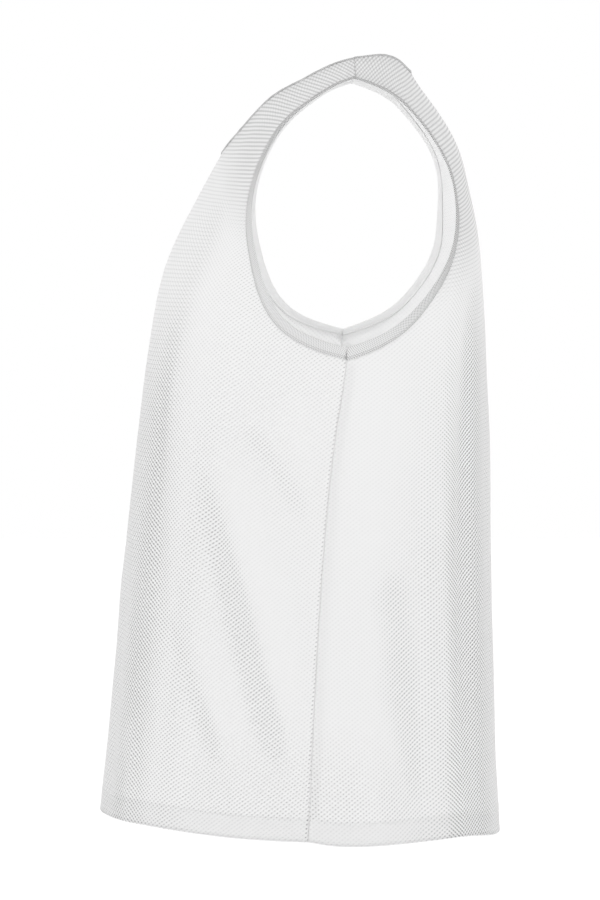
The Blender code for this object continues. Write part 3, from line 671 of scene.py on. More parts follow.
def ramp(tree, value, low, high, start=0.0, end=1.0):
    """A soft step of a value, from start at low to end at high."""
    node = tree.nodes.new("ShaderNodeMapRange")
    node.interpolation_type = "SMOOTHSTEP"
    tree.links.new(value, node.inputs["Value"])
    for name, number in (("From Min", low), ("From Max", high), ("To Min", start), ("To Max", end)):
        node.inputs[name].default_value = number
    return node.outputs["Result"]


# How a knit looks. `edge` is where its waves become holes and `pit` how much painted shade
# darkens its hollows, each plainly and where the mesh is pulled open; `veil` is how much yarn crosses
# a hole, and the hollow's painted shade lies on that yarn too; `rib` is the painted shade on the
# rows between the ribs, and `glow` how much light the cloth lets through.
KnitLook = namedtuple("KnitLook", "edge edge_open pit pit_open veil rib glow")
HOLE_EDGE = 0.58            # the edge of the open mesh's holes
KNIT_LOOKS = {
    "panel_mesh": KnitLook(1.05, HOLE_EDGE, 0.03, 0.44, 0.50, 0.32, 0.2),
    # the cloth's inside and its turned layers: the same knit with little painted shade in its hollows and
    # between its ribs
    "panel_inside": KnitLook(1.05, HOLE_EDGE, 0.00, 0.10, 0.60, 0.03, 0.3),
    "turned_mesh": KnitLook(1.05, HOLE_EDGE, 0.00, 0.10, 0.60, 0.03, 0.0),
    "binding_knit": KnitLook(1.30, 1.30, 0.02, 1.00, 1.00, 0.00, 0.0),
}
TAPE_SCALE = 0.45           # the size of the binding's knit, as a part of the mesh's
YARN_DRIFT = 0.0004         # how far the yarn strays from its straight rows
HOLE_SOFTNESS = 0.12        # how softly a hole's edge begins and ends, in its wave
PIT_RANGE = (-0.3, 0.9)     # the stretch of the wave over which painted shade darkens a hollow
WALES, COURSES = 5, 4       # loops of yarn from hole to hole, across and down
LOOP_BEND = 1.6             # how far each wale bends its courses
LOOP_RELIEF, WALE_RELIEF, HOLLOW_RELIEF = 0.10, 0.08, -0.30     # their parts of the relief
LOOP_SHADE = 0.02           # painted shade: how much darker it is between the loops
GROOVE_OFFSET = 0.0006      # a groove of painted shade lies this far to each side of a binding's stitches
GROOVE_HALF_WIDTH = 0.0005
GROOVE_SHADE = 0.30         # how much painted shade it puts on the tape


def read_attribute(tree, name):
    """A number stored at the piece's vertices."""
    node = tree.nodes.new("ShaderNodeAttribute")
    node.attribute_name = name
    return node.outputs["Fac"]


def new_material(name, roughness):
    """A matt material, with its nodes and its shader."""
    material = bpy.data.materials.new(name)
    material.use_nodes = True
    shader = material.node_tree.nodes["Principled BSDF"]
    shader.inputs["Roughness"].default_value = roughness
    return material, material.node_tree, shader


def add_bump(tree, shader, height, strength, distance):
    """Relief on a material's surface."""
    bump = tree.nodes.new("ShaderNodeBump")
    bump.inputs["Strength"].default_value = strength
    bump.inputs["Distance"].default_value = distance
    tree.links.new(height, bump.inputs["Height"])
    tree.links.new(bump.outputs["Normal"], shader.inputs["Normal"])


def knit_material(name, look, cloth, scale=1.0, grooves=()):
    """White polyester knit with staggered holes, read from the piece's own flat measures.

    The piece's "Open", "Lean" and "Rib" attributes say how far the holes are pulled open and
    how deep the painted shade in the knit's hollows is, which slanting rows stand out, and how strong
    the painted shade between the knit's rows is, which shows them as ribs. The colour also carries painted
    shade between the loops of yarn. Grooves of painted shade run along a tape, at these places across it.
    """
    material, tree, shader = new_material(name, cloth.roughness)
    shader.inputs["Subsurface Weight"].default_value = look.glow
    shader.inputs["Subsurface Radius"].default_value = (1.0, 1.0, 1.0)
    shader.inputs["Subsurface Scale"].default_value = 0.002

    flat = tree.nodes.new("ShaderNodeUVMap")
    flat.uv_map = "Cloth"
    drift = tree.nodes.new("ShaderNodeTexNoise")
    drift.inputs["Scale"].default_value = 55.0
    drift.inputs["Detail"].default_value = 2.0
    tree.links.new(flat.outputs["UV"], drift.inputs["Vector"])
    place = tree.nodes.new("ShaderNodeSeparateXYZ")
    tree.links.new(flat.outputs["UV"], place.inputs[0])
    pull = chain(tree, "MULTIPLY_ADD", drift.outputs["Fac"], 2 * YARN_DRIFT, -YARN_DRIFT)
    across = chain(tree, "ADD", place.outputs["X"], pull)
    along = chain(tree, "SUBTRACT", place.outputs["Y"], pull)
    openness_and_shade, lean, ribs = (read_attribute(tree, item) for item in KNIT_ATTRIBUTES)

    # the holes lie where two sets of slanting rows cross, and one set or the other stands out
    per_width = 2 * math.pi / (cloth.hole_width * scale)
    per_height = 2 * math.pi / (cloth.hole_height * scale)
    phase_across = chain(tree, "MULTIPLY", across, per_width)
    phase_along = chain(tree, "MULTIPLY", along, per_height)
    rising = chain(tree, "COSINE", chain(tree, "SUBTRACT", phase_across, phase_along))
    falling = chain(tree, "COSINE", chain(tree, "ADD", phase_across, phase_along))
    wave = chain(tree, "ADD",
                 chain(tree, "MULTIPLY", rising, chain(tree, "MULTIPLY_ADD", lean, -0.5, 0.5)),
                 chain(tree, "MULTIPLY", falling, chain(tree, "MULTIPLY_ADD", lean, 0.5, 0.5)))
    edge = chain(tree, "MULTIPLY_ADD", openness_and_shade, look.edge_open - look.edge, look.edge)
    past_edge = chain(tree, "SUBTRACT", wave, edge)
    tree.links.new(ramp(tree, past_edge, -HOLE_SOFTNESS, HOLE_SOFTNESS, 1.0, look.veil),
                   shader.inputs["Alpha"])

    wale = chain(tree, "SINE", chain(tree, "MULTIPLY", across, per_width * WALES))
    course = chain(tree, "MULTIPLY", along, per_height * COURSES)
    loops = chain(tree, "SINE", chain(tree, "MULTIPLY_ADD", wale, LOOP_BEND, course))
    yarn = chain(tree, "MULTIPLY_ADD", loops, LOOP_RELIEF, chain(tree, "MULTIPLY", wale, WALE_RELIEF))
    hollow = chain(tree, "MULTIPLY", wave, openness_and_shade)
    relief = chain(tree, "MULTIPLY_ADD", hollow, HOLLOW_RELIEF, yarn)
    add_bump(tree, shader, relief, strength=0.6, distance=0.0005)

    # painted shade in the knit's hollows, deeper where the mesh is pulled open
    depth = chain(tree, "MULTIPLY_ADD", openness_and_shade, look.pit_open - look.pit, look.pit)
    shade = chain(tree, "SUBTRACT", 1.0, chain(tree, "MULTIPLY", ramp(tree, wave, *PIT_RANGE), depth))
    # painted shade on the rows between the ribs
    between = chain(tree, "MULTIPLY_ADD", chain(tree, "COSINE", phase_along), 0.5, 0.5)
    furrow_shade = chain(tree, "MULTIPLY", chain(tree, "MULTIPLY", ribs, look.rib), between)
    shade = chain(tree, "MULTIPLY", shade, chain(tree, "SUBTRACT", 1.0, furrow_shade))
    # painted shade between the loops of yarn
    shade = chain(tree, "MULTIPLY", shade, chain(tree, "MULTIPLY_ADD", loops, LOOP_SHADE, 1 - LOOP_SHADE))
    # painted shade in the grooves beside a binding's stitches
    for where in grooves:
        aside = chain(tree, "ABSOLUTE", chain(tree, "SUBTRACT", place.outputs["X"], where))
        shade = chain(tree, "MULTIPLY", shade, ramp(tree, aside, 0.0, GROOVE_HALF_WIDTH, 1 - GROOVE_SHADE))
    # the cloth's colour, darkened by all that painted shade
    tint = tree.nodes.new("ShaderNodeMix")
    tint.data_type = "RGBA"
    tint.blend_type = "MULTIPLY"
    tint.inputs["Factor"].default_value = 1.0
    tint.inputs["A"].default_value = (*cloth.colour, 1.0)
    tree.links.new(shade, tint.inputs["B"])
    tree.links.new(tint.outputs["Result"], shader.inputs["Base Color"])
    return material


def thread_material(cloth):
    """White polyester thread, twisted."""
    material, tree, shader = new_material("thread", cloth.roughness)
    shader.inputs["Base Color"].default_value = (*cloth.thread_colour, 1.0)
    place = tree.nodes.new("ShaderNodeTexCoord")
    twist = tree.nodes.new("ShaderNodeTexWave")
    twist.inputs["Scale"].default_value = 900.0
    twist.inputs["Distortion"].default_value = 2.0
    tree.links.new(place.outputs["Object"], twist.inputs["Vector"])
    add_bump(tree, shader, twist.outputs["Fac"], strength=0.4, distance=0.0002)
    return material


def tape_grooves():
    """The places of the painted shade in the grooves beside a binding's stitches, across the tape."""
    leg = np.array(BINDING_LEG)
    at = float(np.interp(-BINDING_STITCH.into, -leg[:, 0], length_of(leg)))
    return at - GROOVE_OFFSET, at + GROOVE_OFFSET


def cloth_material(name):
    """The material of that name, made once: a knit or the thread."""
    if name in bpy.data.materials:
        return bpy.data.materials[name]
    cloth = bpy.context.scene.bib_cloth
    if name == "thread":
        return thread_material(cloth)
    if name == "binding_knit":
        return knit_material(name, KNIT_LOOKS[name], cloth, TAPE_SCALE, tape_grooves())
    return knit_material(name, KNIT_LOOKS[name]._replace(edge_open=cloth.hole_edge), cloth)


# ---------------------------------------------------------------- making pieces
def put_places(bm, places):
    """Set every vertex's place."""
    for vert, place in zip(bm.verts, places):
        vert.co = place


def put_flat(bm, knit, looks):
    """Store where each vertex lies on the knit, and its columns of KNIT_ATTRIBUTES."""
    layer = bm.loops.layers.uv.new("Cloth")
    bm.verts.index_update()
    for face in bm.faces:
        for loop in face.loops:
            loop[layer].uv = knit[loop.vert.index]
    for name, values in zip(KNIT_ATTRIBUTES, np.asarray(looks).T):
        layer = bm.verts.layers.float.new(name)
        for vert, value in zip(bm.verts, values):
            vert[layer] = value


def mesh_looks(flat, pattern):
    """How far the mesh is pulled open and painted darker in its hollows, which way it leans and how strong
    the painted shade between its rib rows is, place by place.
    """
    around, down = np.asarray(flat, float).T
    away = np.abs(around)
    places, *columns = np.array(pattern.knit).T
    upper, lower, lean = (np.interp(away, places, column) for column in columns)
    fade, more = LOWER_FADE
    late = smooth_step((away - pattern.late_from) / LATE_FADE)
    open_and_shade = upper + (lower - upper) * smooth_step((down - pattern.open_from) / (fade + more * late))

    fold = fold_height(around, down, pattern)
    # troughs are opened wider and painted darker, ridges less
    trough = TROUGH[1] * np.clip(-fold / TROUGH[0], 0, 1)
    ridge = 1 - RIDGE[1] * np.clip(fold / RIDGE[0], 0, 1)
    # more open above the hem, with painted shade that darkens the cloth towards it
    from_hem = hem_down(around, pattern) - down
    near_hem = np.where(from_hem > HEM_DEPTH,
                        HEM_OPEN_AND_SHADE * (1 - smooth_step((from_hem - HEM_DEPTH) / HEM_OPEN_FADE)), HEM_LAYERS_OPEN)
    open_and_shade = np.maximum(np.maximum(open_and_shade, near_hem) * ridge, trough)
    if pattern.side < 0:
        from_side = half_girth(down, pattern.sections) - away
        top, more = NEEDLE_OPEN
        needle = top + more * smooth_step((down - NEEDLE_OPEN_FROM) / NEEDLE_OPEN_FADE)
        holes = np.exp(-((from_side - SEAM_ROLL_WIDTH / 2) / NEEDLE_WIDTH)**2)
        open_and_shade = np.maximum(open_and_shade, needle * holes)
    # how strong the painted shade between the knit's rows is, which shows them as ribs
    ribs = np.maximum(1 - smooth_step((down - pattern.rib_to) / RIB_FADE),
                      EDGE_RIB * (1 - smooth_step((away - EDGE_RIB_TO) / EDGE_RIB_FADE)))
    return np.stack([open_and_shade, lean, ribs], axis=1)


def add_object(name, data):
    """An object with this data, in the scene."""
    item = bpy.data.objects.new(name, data)
    bpy.context.scene.collection.objects.link(item)
    return item


def add_mesh(name, bm, material):
    """An object with this mesh and one material."""
    mesh = bpy.data.meshes.new(name)
    bm.to_mesh(mesh)
    bm.free()
    mesh.materials.append(material)
    return add_object(name, mesh)


def add_piece(name, bm, material, nodes=(), wall=0.0):
    """One piece of the bib as an object, with its wall, smooth shading and place in the frame."""
    piece = add_mesh(name, bm, material)
    piece.data.shade_smooth()
    if wall:
        solid = piece.modifiers.new("Wall", "SOLIDIFY")
        solid.thickness = wall
        solid.offset = 0.0
    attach(piece, "root")
    if nodes:
        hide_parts(*nodes)
    return piece


# ---------------------------------------------------------------- panels
def make_panel(pattern):
    """A panel's middle surface, from a grid without the neck's and the armholes' faces.

    Its flat places come with it, as lay_out gives them.
    """
    bm = bmesh.new()
    bmesh.ops.create_grid(bm, x_segments=2 * SIDE_COLUMN, y_segments=HEM_ROW, size=1)
    column_of = {vert: round(vert.co.x * SIDE_COLUMN) for vert in bm.verts}
    row_of = {vert: round((1 - vert.co.y) / 2 * HEM_ROW) for vert in bm.verts}
    cut = []
    for face in bm.faces:
        column = max(abs(column_of[vert]) for vert in face.verts)
        row = max(row_of[vert] for vert in face.verts)
        in_neck = column <= NECK_COLUMN and row <= NECK_ROW
        in_arm = column > ARM_COLUMN and row <= ARM_ROW
        if in_neck or in_arm:
            cut.append(face)
    bmesh.ops.delete(bm, geom=cut, context="FACES")

    place = lay_out(pattern)
    flat = np.array([place[row_of[vert], abs(column_of[vert])] for vert in bm.verts])
    flat[:, 0] *= [-1.0 if column_of[vert] < 0 else 1.0 for vert in bm.verts]
    put_places(bm, worn(flat, pattern))
    put_flat(bm, knit_place(flat, pattern), mesh_looks(flat, pattern))
    if pattern.side > 0:
        bmesh.ops.reverse_faces(bm, faces=bm.faces)
    return bm, place


# ---------------------------------------------------------------- strips along an edge
def sewn_strip(pattern, along, profile, lay, knit=None, looks=None):
    """A sheet along an edge: a row for each place along it and a column for each profile point.

    `lay` gives a column's flat places and how far they stand out. Unless `knit` is given, the knit
    runs along the strip itself; unless `looks` are, it looks as the panel's mesh does there.
    """
    flat, out = (np.stack(item, axis=1) for item in zip(*(lay(*point) for point in profile)))
    places = flat.reshape(-1, 2)
    if knit is None:
        knit = np.stack(np.meshgrid(length_of(profile), along), axis=-1)
    if looks is None:
        looks = mesh_looks(places, pattern)
    bm = bmesh.new()
    bmesh.ops.create_grid(bm, x_segments=len(profile) - 1, y_segments=len(along) - 1, size=1)
    put_places(bm, worn(places, pattern, out.ravel()))
    put_flat(bm, knit.reshape(-1, 2), looks)
    return bm


def edge_line(curve, t, distance, first, last):
    """Places outside a curve; at its two ends they lie on the seams, whose directions are given."""
    beside = curve(t) - inset(curve, t, 1.0)
    to_first = (1 - smooth_step(t / END_TURN))[:, None]
    to_last = smooth_step((t - 1 + END_TURN) / END_TURN)[:, None]
    beside = beside * (1 - to_first - to_last) + to_first * np.array(first) + to_last * np.array(last)
    return curve(t) + np.atleast_1d(distance)[:, None] * beside


def pucker(along, seed):
    """Small uneven waves along a sewn edge."""
    return np.array([noise.noise((a / PUCKER_PITCH, seed, 0.5)) for a in along])


def binding_path(pattern, opening, hand):
    """The edge that a binding covers: places beside it at any distance, and its length."""
    neck, arm = edge_curves(pattern)

    def beside_neck(t, distance):
        from_end = 1 - np.abs(2 * t - 1)
        edge = neck(from_end)
        near = (1 - smooth_step(from_end / END_TURN))[:, None]
        into = (inset(neck, from_end, 1.0) - edge) * (1 - near) + near * np.array((1.0, 0.0))
        mirror = np.stack([np.where(t < 0.5, -1.0, 1.0), np.ones_like(t)], axis=-1)
        return (edge + np.atleast_1d(distance)[:, None] * into) * mirror

    def beside_arm(t, distance):
        return edge_line(arm, t, distance, (-1.0, 0.0), (0.0, 1.0)) * (hand, 1.0)

    beside = beside_neck if opening == "neck" else beside_arm
    line = beside(np.linspace(0, 1, CURVE_STEPS), 0.0)
    return beside, length_of(line)[-1]


def band_lie(pattern, opening, t):
    """The share of the binding that shows outside, and the painted shade on its tape, which also deepens its
    knit's hollows.
    """
    if opening == "neck":
        return np.full_like(t, NECK_SHOW), np.ones_like(t)
    along, show, open_and_shade = np.array(pattern.band).T
    return np.interp(t, along, show), np.interp(t, along, open_and_shade)


def flatness(show):
    """How high a binding stands from the cloth where this share of it shows, as a part of its profile."""
    return BINDING_FLAT + (1 - BINDING_FLAT) * np.minimum(show, 1)


def make_binding(pattern, opening, hand, step):
    """A tape folded over an opening's edge: outer leg, turn and inner leg."""
    beside, length = binding_path(pattern, opening, hand)
    t = np.linspace(0, 1, round(length / step) + 1)
    leg = np.array(BINDING_LEG)
    profile = np.vstack([leg, leg[-2::-1] * (1, -1)])
    wave = PUCKER * pucker(t * length, pattern.side + hand)
    show, open_and_shade = band_lie(pattern, opening, t)

    def lay(into, height):
        share = show if height > 0 else 2 - show
        reach = into * share if into > 0 else into
        flat = beside(t, reach + EDGE_WAVE * wave * (into > BINDING_WAVY))
        flat[-1, 0] += hand * BINDING_LAP
        return flat, height * flatness(share) + np.sign(height) * wave

    looks = np.zeros((len(t), len(profile), len(KNIT_ATTRIBUTES)))
    # the outer leg carries the band's painted shade
    looks[:, :len(leg), 0] = open_and_shade[:, None]
    bm = sewn_strip(pattern, t * length, profile, lay, looks=looks.reshape(-1, len(KNIT_ATTRIBUTES)))
    return bm, (length, length_of(profile)[-1])


def stitch_row(pattern, beside, length, row, side, sewing, show=np.ones_like):
    """The starts and the ends of a row of stitches beside an edge; side is 1 outside and -1 inside."""
    pitch = sewing.stitch_length + sewing.stitch_gap
    count = int(length / pitch)
    half = sewing.stitch_length / 2 / length
    t = (np.arange(count) + 0.5) / count
    out = side * row.out * flatness(show(t))
    ends = []
    for end in (t - half, t + half):
        share = show(end) if side > 0 else 2 - show(end)
        ends.append(worn(beside(end, row.into * share), pattern, out))
    return ends


def thread_shape():
    """The vertices and faces of one stitch: a small ball, to be drawn out to the stitch's length."""
    bm = bmesh.new()
    bmesh.ops.create_uvsphere(bm, u_segments=6, v_segments=5, radius=1.0)
    bm.verts.index_update()
    verts = np.array([vert.co for vert in bm.verts])
    faces = [[vert.index for vert in face.verts] for face in bm.faces]
    bm.free()
    return verts, faces


def joined_stitches(name, lines, thickness):
    """One mesh with a rounded thread from each start to its end."""
    ball, ball_faces = thread_shape()
    start = np.vstack([line[0] for line in lines])
    end = np.vstack([line[1] for line in lines])
    along = (end - start) / 2
    half = np.linalg.norm(along, axis=1)[:, None]
    side = np.cross(along, THREAD_ASIDE)
    side /= np.linalg.norm(side, axis=1)[:, None]
    up = np.cross(along / half, side)
    verts = ((start + end)[:, None] / 2 + ball[:, 2, None] * along[:, None]
             + thickness / 2 * (ball[:, 0, None] * side[:, None] + ball[:, 1, None] * up[:, None]))
    faces = [[k * len(ball) + index for index in face] for k in range(len(start)) for face in ball_faces]
    mesh = bpy.data.meshes.new(name)
    mesh.from_pydata(verts.reshape(-1, 3), [], faces)
    bm = bmesh.new()
    bm.from_mesh(mesh)
    bpy.data.meshes.remove(mesh)
    return bm


# ---------------------------------------------------------------- hems
def hem_edge(pattern):
    """The hem's edge from the wearer's right to left: places above it at any distance, and its length."""
    girth = side_seam(SIDE_HEM_HEIGHT, pattern)[0]

    def above(t, distance):
        around = girth * (2 * t - 1)
        return np.stack([around, hem_down(around, pattern) - distance], axis=1)

    return above, length_of(above(np.linspace(0, 1, CURVE_STEPS), 0.0))[-1]


def make_hem(pattern, step):
    """The cloth turned up inside at the hem, from the panel's edge round the fold."""
    above, length = hem_edge(pattern)
    t = np.linspace(0, 1, round(length / step) + 1)
    turn = [(-HEM_TURN * math.sin(angle), -HEM_TURN + HEM_TURN * math.cos(angle))
            for angle in np.linspace(0, math.pi, HEM_TURN_POINTS)]
    leg = [(reach, -2 * HEM_TURN + (2 * HEM_TURN - HEM_GAP) * smooth_step(reach / HEM_STITCH.into))
           for reach in HEM_LEG]
    profile = np.array(turn + leg)
    wave = PUCKER * pucker(t * length, pattern.side)

    def lay(into, height):
        return above(t, into), height + wave * min(max(into, 0) / HEM_DEPTH, 1)

    width = length_of(profile)
    knit = knit_place(above(t, 0.0), pattern)[:, None] - np.stack([0 * width, width], axis=1)
    return sewn_strip(pattern, t * length, profile, lay, knit), (length, width[-1])


# ---------------------------------------------------------------- seam allowances
def make_allowance(pattern, path, length, step):
    """The two panels' edges inside a seam, overlocked together and pressed onto this panel."""
    t = np.linspace(0, 1, round(length / step) + 1)
    leg = [(reach, ALLOWANCE_OUT) for reach in np.linspace(0.0, ALLOWANCE, ALLOWANCE_POINTS)]
    turn = (ALLOWANCE + ALLOWANCE_GAP / 2, ALLOWANCE_OUT - ALLOWANCE_GAP / 2)
    back = [(reach, out - ALLOWANCE_GAP) for reach, out in reversed(leg)]
    profile = np.array([*leg, turn, *back])
    wave = ALLOWANCE_WAVE * PUCKER * np.abs(pucker(t * length, ALLOWANCE_SEED))

    def lay(reach, height):
        return path(t, reach), height - wave * reach / ALLOWANCE

    return sewn_strip(pattern, t * length, profile, lay), (length_of(profile)[-1], length)


def side_path(pattern, hand):
    """The side seam from the armhole to the hem: places beside it, and its length."""
    top, low = UNDERARM_HEIGHT - ALLOWANCE_START, SIDE_HEM_HEIGHT + ALLOWANCE_END

    def beside(t, distance):
        place = side_seam(top + (low - top) * np.clip(t, 0, 1), pattern) - (distance, 0.0)
        return place * (hand, 1.0)

    return beside, top - low


def shoulder_path(hand):
    """The shoulder seam from neck to armhole: places in front of it, and its length."""
    first, last = NECK_END + BAND_WIDTH, ARM_END - BAND_WIDTH

    def beside(t, distance):
        around = first + (last - first) * np.clip(t, 0, 1)
        return np.stack([around * hand, np.full_like(t, SEAM_SETBACK + distance)], axis=1)

    return beside, last - first


def overlock(pattern, path, length, sewing):
    """The starts and ends of the threads across a seam allowance and along its needle line."""
    pitch = sewing.overlock_pitch
    count = int(length / pitch)
    t = (np.arange(count) + 0.5) / count
    runs = [(OVERLOCK_REACH, OVERLOCK_LEAN, out) for out in OVERLOCK_OUT]
    runs.append((NEEDLE_LINE, NEEDLE_HALF, OVERLOCK_OUT[0]))
    lines = []
    for reach, part, out in runs:
        shift = part * pitch / length
        start = worn(path(t - shift, NEEDLE_LINE), pattern, np.full(count, out))
        end = worn(path(t + shift, reach), pattern, np.full(count, out))
        lines.append((start, end))
    return lines


# ---------------------------------------------------------------- settings
class BibClothSettings(bpy.types.PropertyGroup):
    """Sizes and colour of the cloth."""

    wall: FloatProperty(name="Cloth", description="Thickness of the mesh cloth",
                        default=0.0006, min=0.0002, max=0.002, precision=5, unit="LENGTH")
    tape_wall: FloatProperty(name="Tape", description="Thickness of a binding's cloth",
                             default=0.0005, min=0.0002, max=0.002, precision=5, unit="LENGTH")
    hole_width: FloatProperty(name="Hole Spacing Across", description="From hole to hole along a row",
                              default=0.0048, min=0.001, max=0.02, precision=5, unit="LENGTH")
    hole_height: FloatProperty(name="Hole Spacing Down", description="From hole to hole down a column",
                               default=0.0037, min=0.001, max=0.02, precision=5, unit="LENGTH")
    hole_edge: FloatProperty(name="Hole Edge", description="Smaller values make larger holes",
                             default=HOLE_EDGE, min=0.2, max=1.2)
    colour: FloatVectorProperty(name="Colour", description="Colour of the cloth",
                                default=(0.86, 0.86, 0.86), min=0.0, max=1.0, subtype="COLOR")
    thread_colour: FloatVectorProperty(name="Thread Colour", description="Colour of the thread",
                                       default=(0.93, 0.93, 0.93), min=0.0, max=1.0, subtype="COLOR")
    roughness: FloatProperty(name="Roughness", description="Roughness of cloth and thread",
                             default=0.8, min=0.0, max=1.0, subtype="FACTOR")


class BibSewingSettings(bpy.types.PropertyGroup):
    """Sizes of the stitches."""

    step: FloatProperty(name="Strip Step", description="Distance between a strip's mesh rows",
                        default=0.0025, min=0.001, max=0.01, precision=5, unit="LENGTH")
    stitch_length: FloatProperty(name="Stitch", description="Length of one stitch",
                                 default=0.0022, min=0.001, max=0.01, precision=5, unit="LENGTH")
    stitch_gap: FloatProperty(name="Gap", description="Space between two stitches",
                              default=0.0006, min=0.0, max=0.01, precision=5, unit="LENGTH")
    thread: FloatProperty(name="Thread", description="Thickness of the thread",
                          default=0.00045, min=0.0001, max=0.002, precision=5, unit="LENGTH")
    overlock_pitch: FloatProperty(name="Overlock Pitch", description="Between threads of an overlocked edge",
                                  default=0.0028, min=0.001, max=0.01, precision=5, unit="LENGTH")


# places of the lights and the camera, and how the camera looks down, in metres
KEY_PLACE = (2.5, -1.0, 1.3)
FILL_PLACE = (-2.9, -0.4, 0.7)
SOFT_LIGHT_SIZE = 1.8
INNER_PLACE = (0.03, -0.04, -0.20)
INNER_LIGHT_SIZE = 0.05
CAMERA_PLACE = (4.0, -0.0469, -0.0618)
CAMERA_FALL = 0.06858407    # for each metre that it looks ahead
FLOOR_HALF_WIDTH = 8.0


class BibStageSettings(bpy.types.PropertyGroup):
    """Camera, lights and floor."""

    surround: FloatProperty(name="Surround", description="Brightness of the light from all around",
                            default=1.0, min=0.0, max=10.0)
    key: FloatProperty(name="Key Light", description="Power of the soft light on the wearer's left",
                       default=2.5, min=0.0, max=1000.0, unit="POWER")
    fill: FloatProperty(name="Fill Light", description="Power of the soft light on the wearer's right",
                        default=4.0, min=0.0, max=1000.0, unit="POWER")
    inner: FloatProperty(name="Inner Light", description="Power of the small light inside the bib",
                         default=0.36, min=0.0, max=100.0, unit="POWER")
    floor_glow: FloatProperty(name="Floor Glow", description="How much the floor is lit from within",
                              default=0.13, min=0.0, max=10.0)
    floor_drop: FloatProperty(name="Floor", description="Height of the floor below the hem",
                              default=0.45, min=0.01, max=3.0, unit="LENGTH")
    lens: FloatProperty(name="Lens", description="Focal length of the camera, in millimetres",
                        default=180.8, min=20.0, max=400.0)


# ---------------------------------------------------------------- operators
class BIB_OT_panels(bpy.types.Operator):
    """Make the front and back panels of mesh cloth"""

    bl_idname = "bib.panels"
    bl_label = "Panels"

    def execute(self, context):
        for pattern in PATTERNS:
            bm, place = make_panel(pattern)
            node = pattern.name + "_panel"
            piece = add_piece(pattern.name + "_cloth", bm, cloth_material("panel_mesh"), [node],
                              context.scene.bib_cloth.wall)
            piece.data.materials.append(cloth_material("panel_inside"))
            piece.modifiers["Wall"].material_offset = 1
        return {"FINISHED"}


class BIB_OT_bindings(bpy.types.Operator):
    """Make the folded bindings round the neck and the armholes"""

    bl_idname = "bib.bindings"
    bl_label = "Bindings"

    def execute(self, context):
        cloth = context.scene.bib_cloth
        places = (("neck", 0, "neck_{}"), ("arm", 1, "armhole_{}_left"), ("arm", -1, "armhole_{}_right"))
        for pattern in PATTERNS:
            for opening, hand, name in places:
                bm, flat = make_binding(pattern, opening, hand, context.scene.bib_sewing.step)
                face_outwards_of_leg(bm, pattern)
                node = name.format("band_" + pattern.name)
                piece = add_piece(name.format("binding_" + pattern.name), bm, cloth_material("binding_knit"),
                                  [node], cloth.tape_wall)
        return {"FINISHED"}


def face_outwards_of_leg(bm, pattern):
    """Turn a folded tape's faces so that its outer leg looks outwards."""
    bm.normal_update()
    outer = max(bm.verts, key=lambda vert: vert.co.y * pattern.side)
    if outer.normal.y * pattern.side < 0:
        bmesh.ops.reverse_faces(bm, faces=bm.faces)


class BIB_OT_hems(bpy.types.Operator):
    """Make the turned-up hems of the two panels"""

    bl_idname = "bib.hems"
    bl_label = "Hems"

    def execute(self, context):
        for pattern in PATTERNS:
            bm, flat = make_hem(pattern, context.scene.bib_sewing.step)
            node = "hem_" + pattern.name
            piece = add_piece("hem_turn_" + pattern.name, bm, cloth_material("turned_mesh"), [node],
                              context.scene.bib_cloth.wall)
        return {"FINISHED"}


class BIB_OT_seams(bpy.types.Operator):
    """Make the overlocked allowances inside the side and shoulder seams"""

    bl_idname = "bib.seams"
    bl_label = "Seams"

    def execute(self, context):
        sewing = context.scene.bib_sewing
        for hand, hand_name in ((1, "left"), (-1, "right")):
            for seam, pattern, (path, length) in (("side", BACK, side_path(BACK, hand)),
                                                  ("shoulder", FRONT, shoulder_path(hand))):
                bm, flat = make_allowance(pattern, path, length, sewing.step)
                piece = add_piece(f"{seam}_allowance_{hand_name}", bm, cloth_material("turned_mesh"),
                                  wall=context.scene.bib_cloth.wall)
                name = f"{seam}_overlock_{hand_name}"
                bm = joined_stitches(name, overlock(pattern, path, length, sewing), sewing.thread)
                add_piece(name, bm, cloth_material("thread"))
        return {"FINISHED"}


class BIB_OT_stitches(bpy.types.Operator):
    """Make the rows of stitches along the bindings and the hems"""

    bl_idname = "bib.stitches"
    bl_label = "Stitches"

    def execute(self, context):
        sewing = context.scene.bib_sewing
        for pattern in PATTERNS:
            lines = []
            for opening, hand in (("neck", 0), ("arm", 1), ("arm", -1)):
                beside, length = binding_path(pattern, opening, hand)
                for side in (1, -1):
                    lines.append(stitch_row(pattern, beside, length, BINDING_STITCH, side, sewing,
                                            lambda t: band_lie(pattern, opening, t)[0]))
            name = "binding_stitches_" + pattern.name
            bm = joined_stitches(name, lines, sewing.thread)
            add_piece(name, bm, cloth_material("thread"))

            above, length = hem_edge(pattern)
            lines = [stitch_row(pattern, above, length, row, side, sewing)
                     for row, side in ((HEM_STITCH, 1), (HEM_STITCH_INSIDE, -1))]
            name = "hem_stitches_" + pattern.name
            bm = joined_stitches(name, lines, sewing.thread)
            add_piece(name, bm, cloth_material("thread"))
        return {"FINISHED"}


def add_area_light(name, place, target, power):
    """A square soft light that looks at a point."""
    data = bpy.data.lights.new(name, "AREA")
    data.size = SOFT_LIGHT_SIZE
    data.energy = power
    light = add_object(name, data)
    light.location = place
    light.rotation_mode = "QUATERNION"
    light.rotation_quaternion = (Vector(target) - Vector(place)).to_track_quat("-Z", "Y")


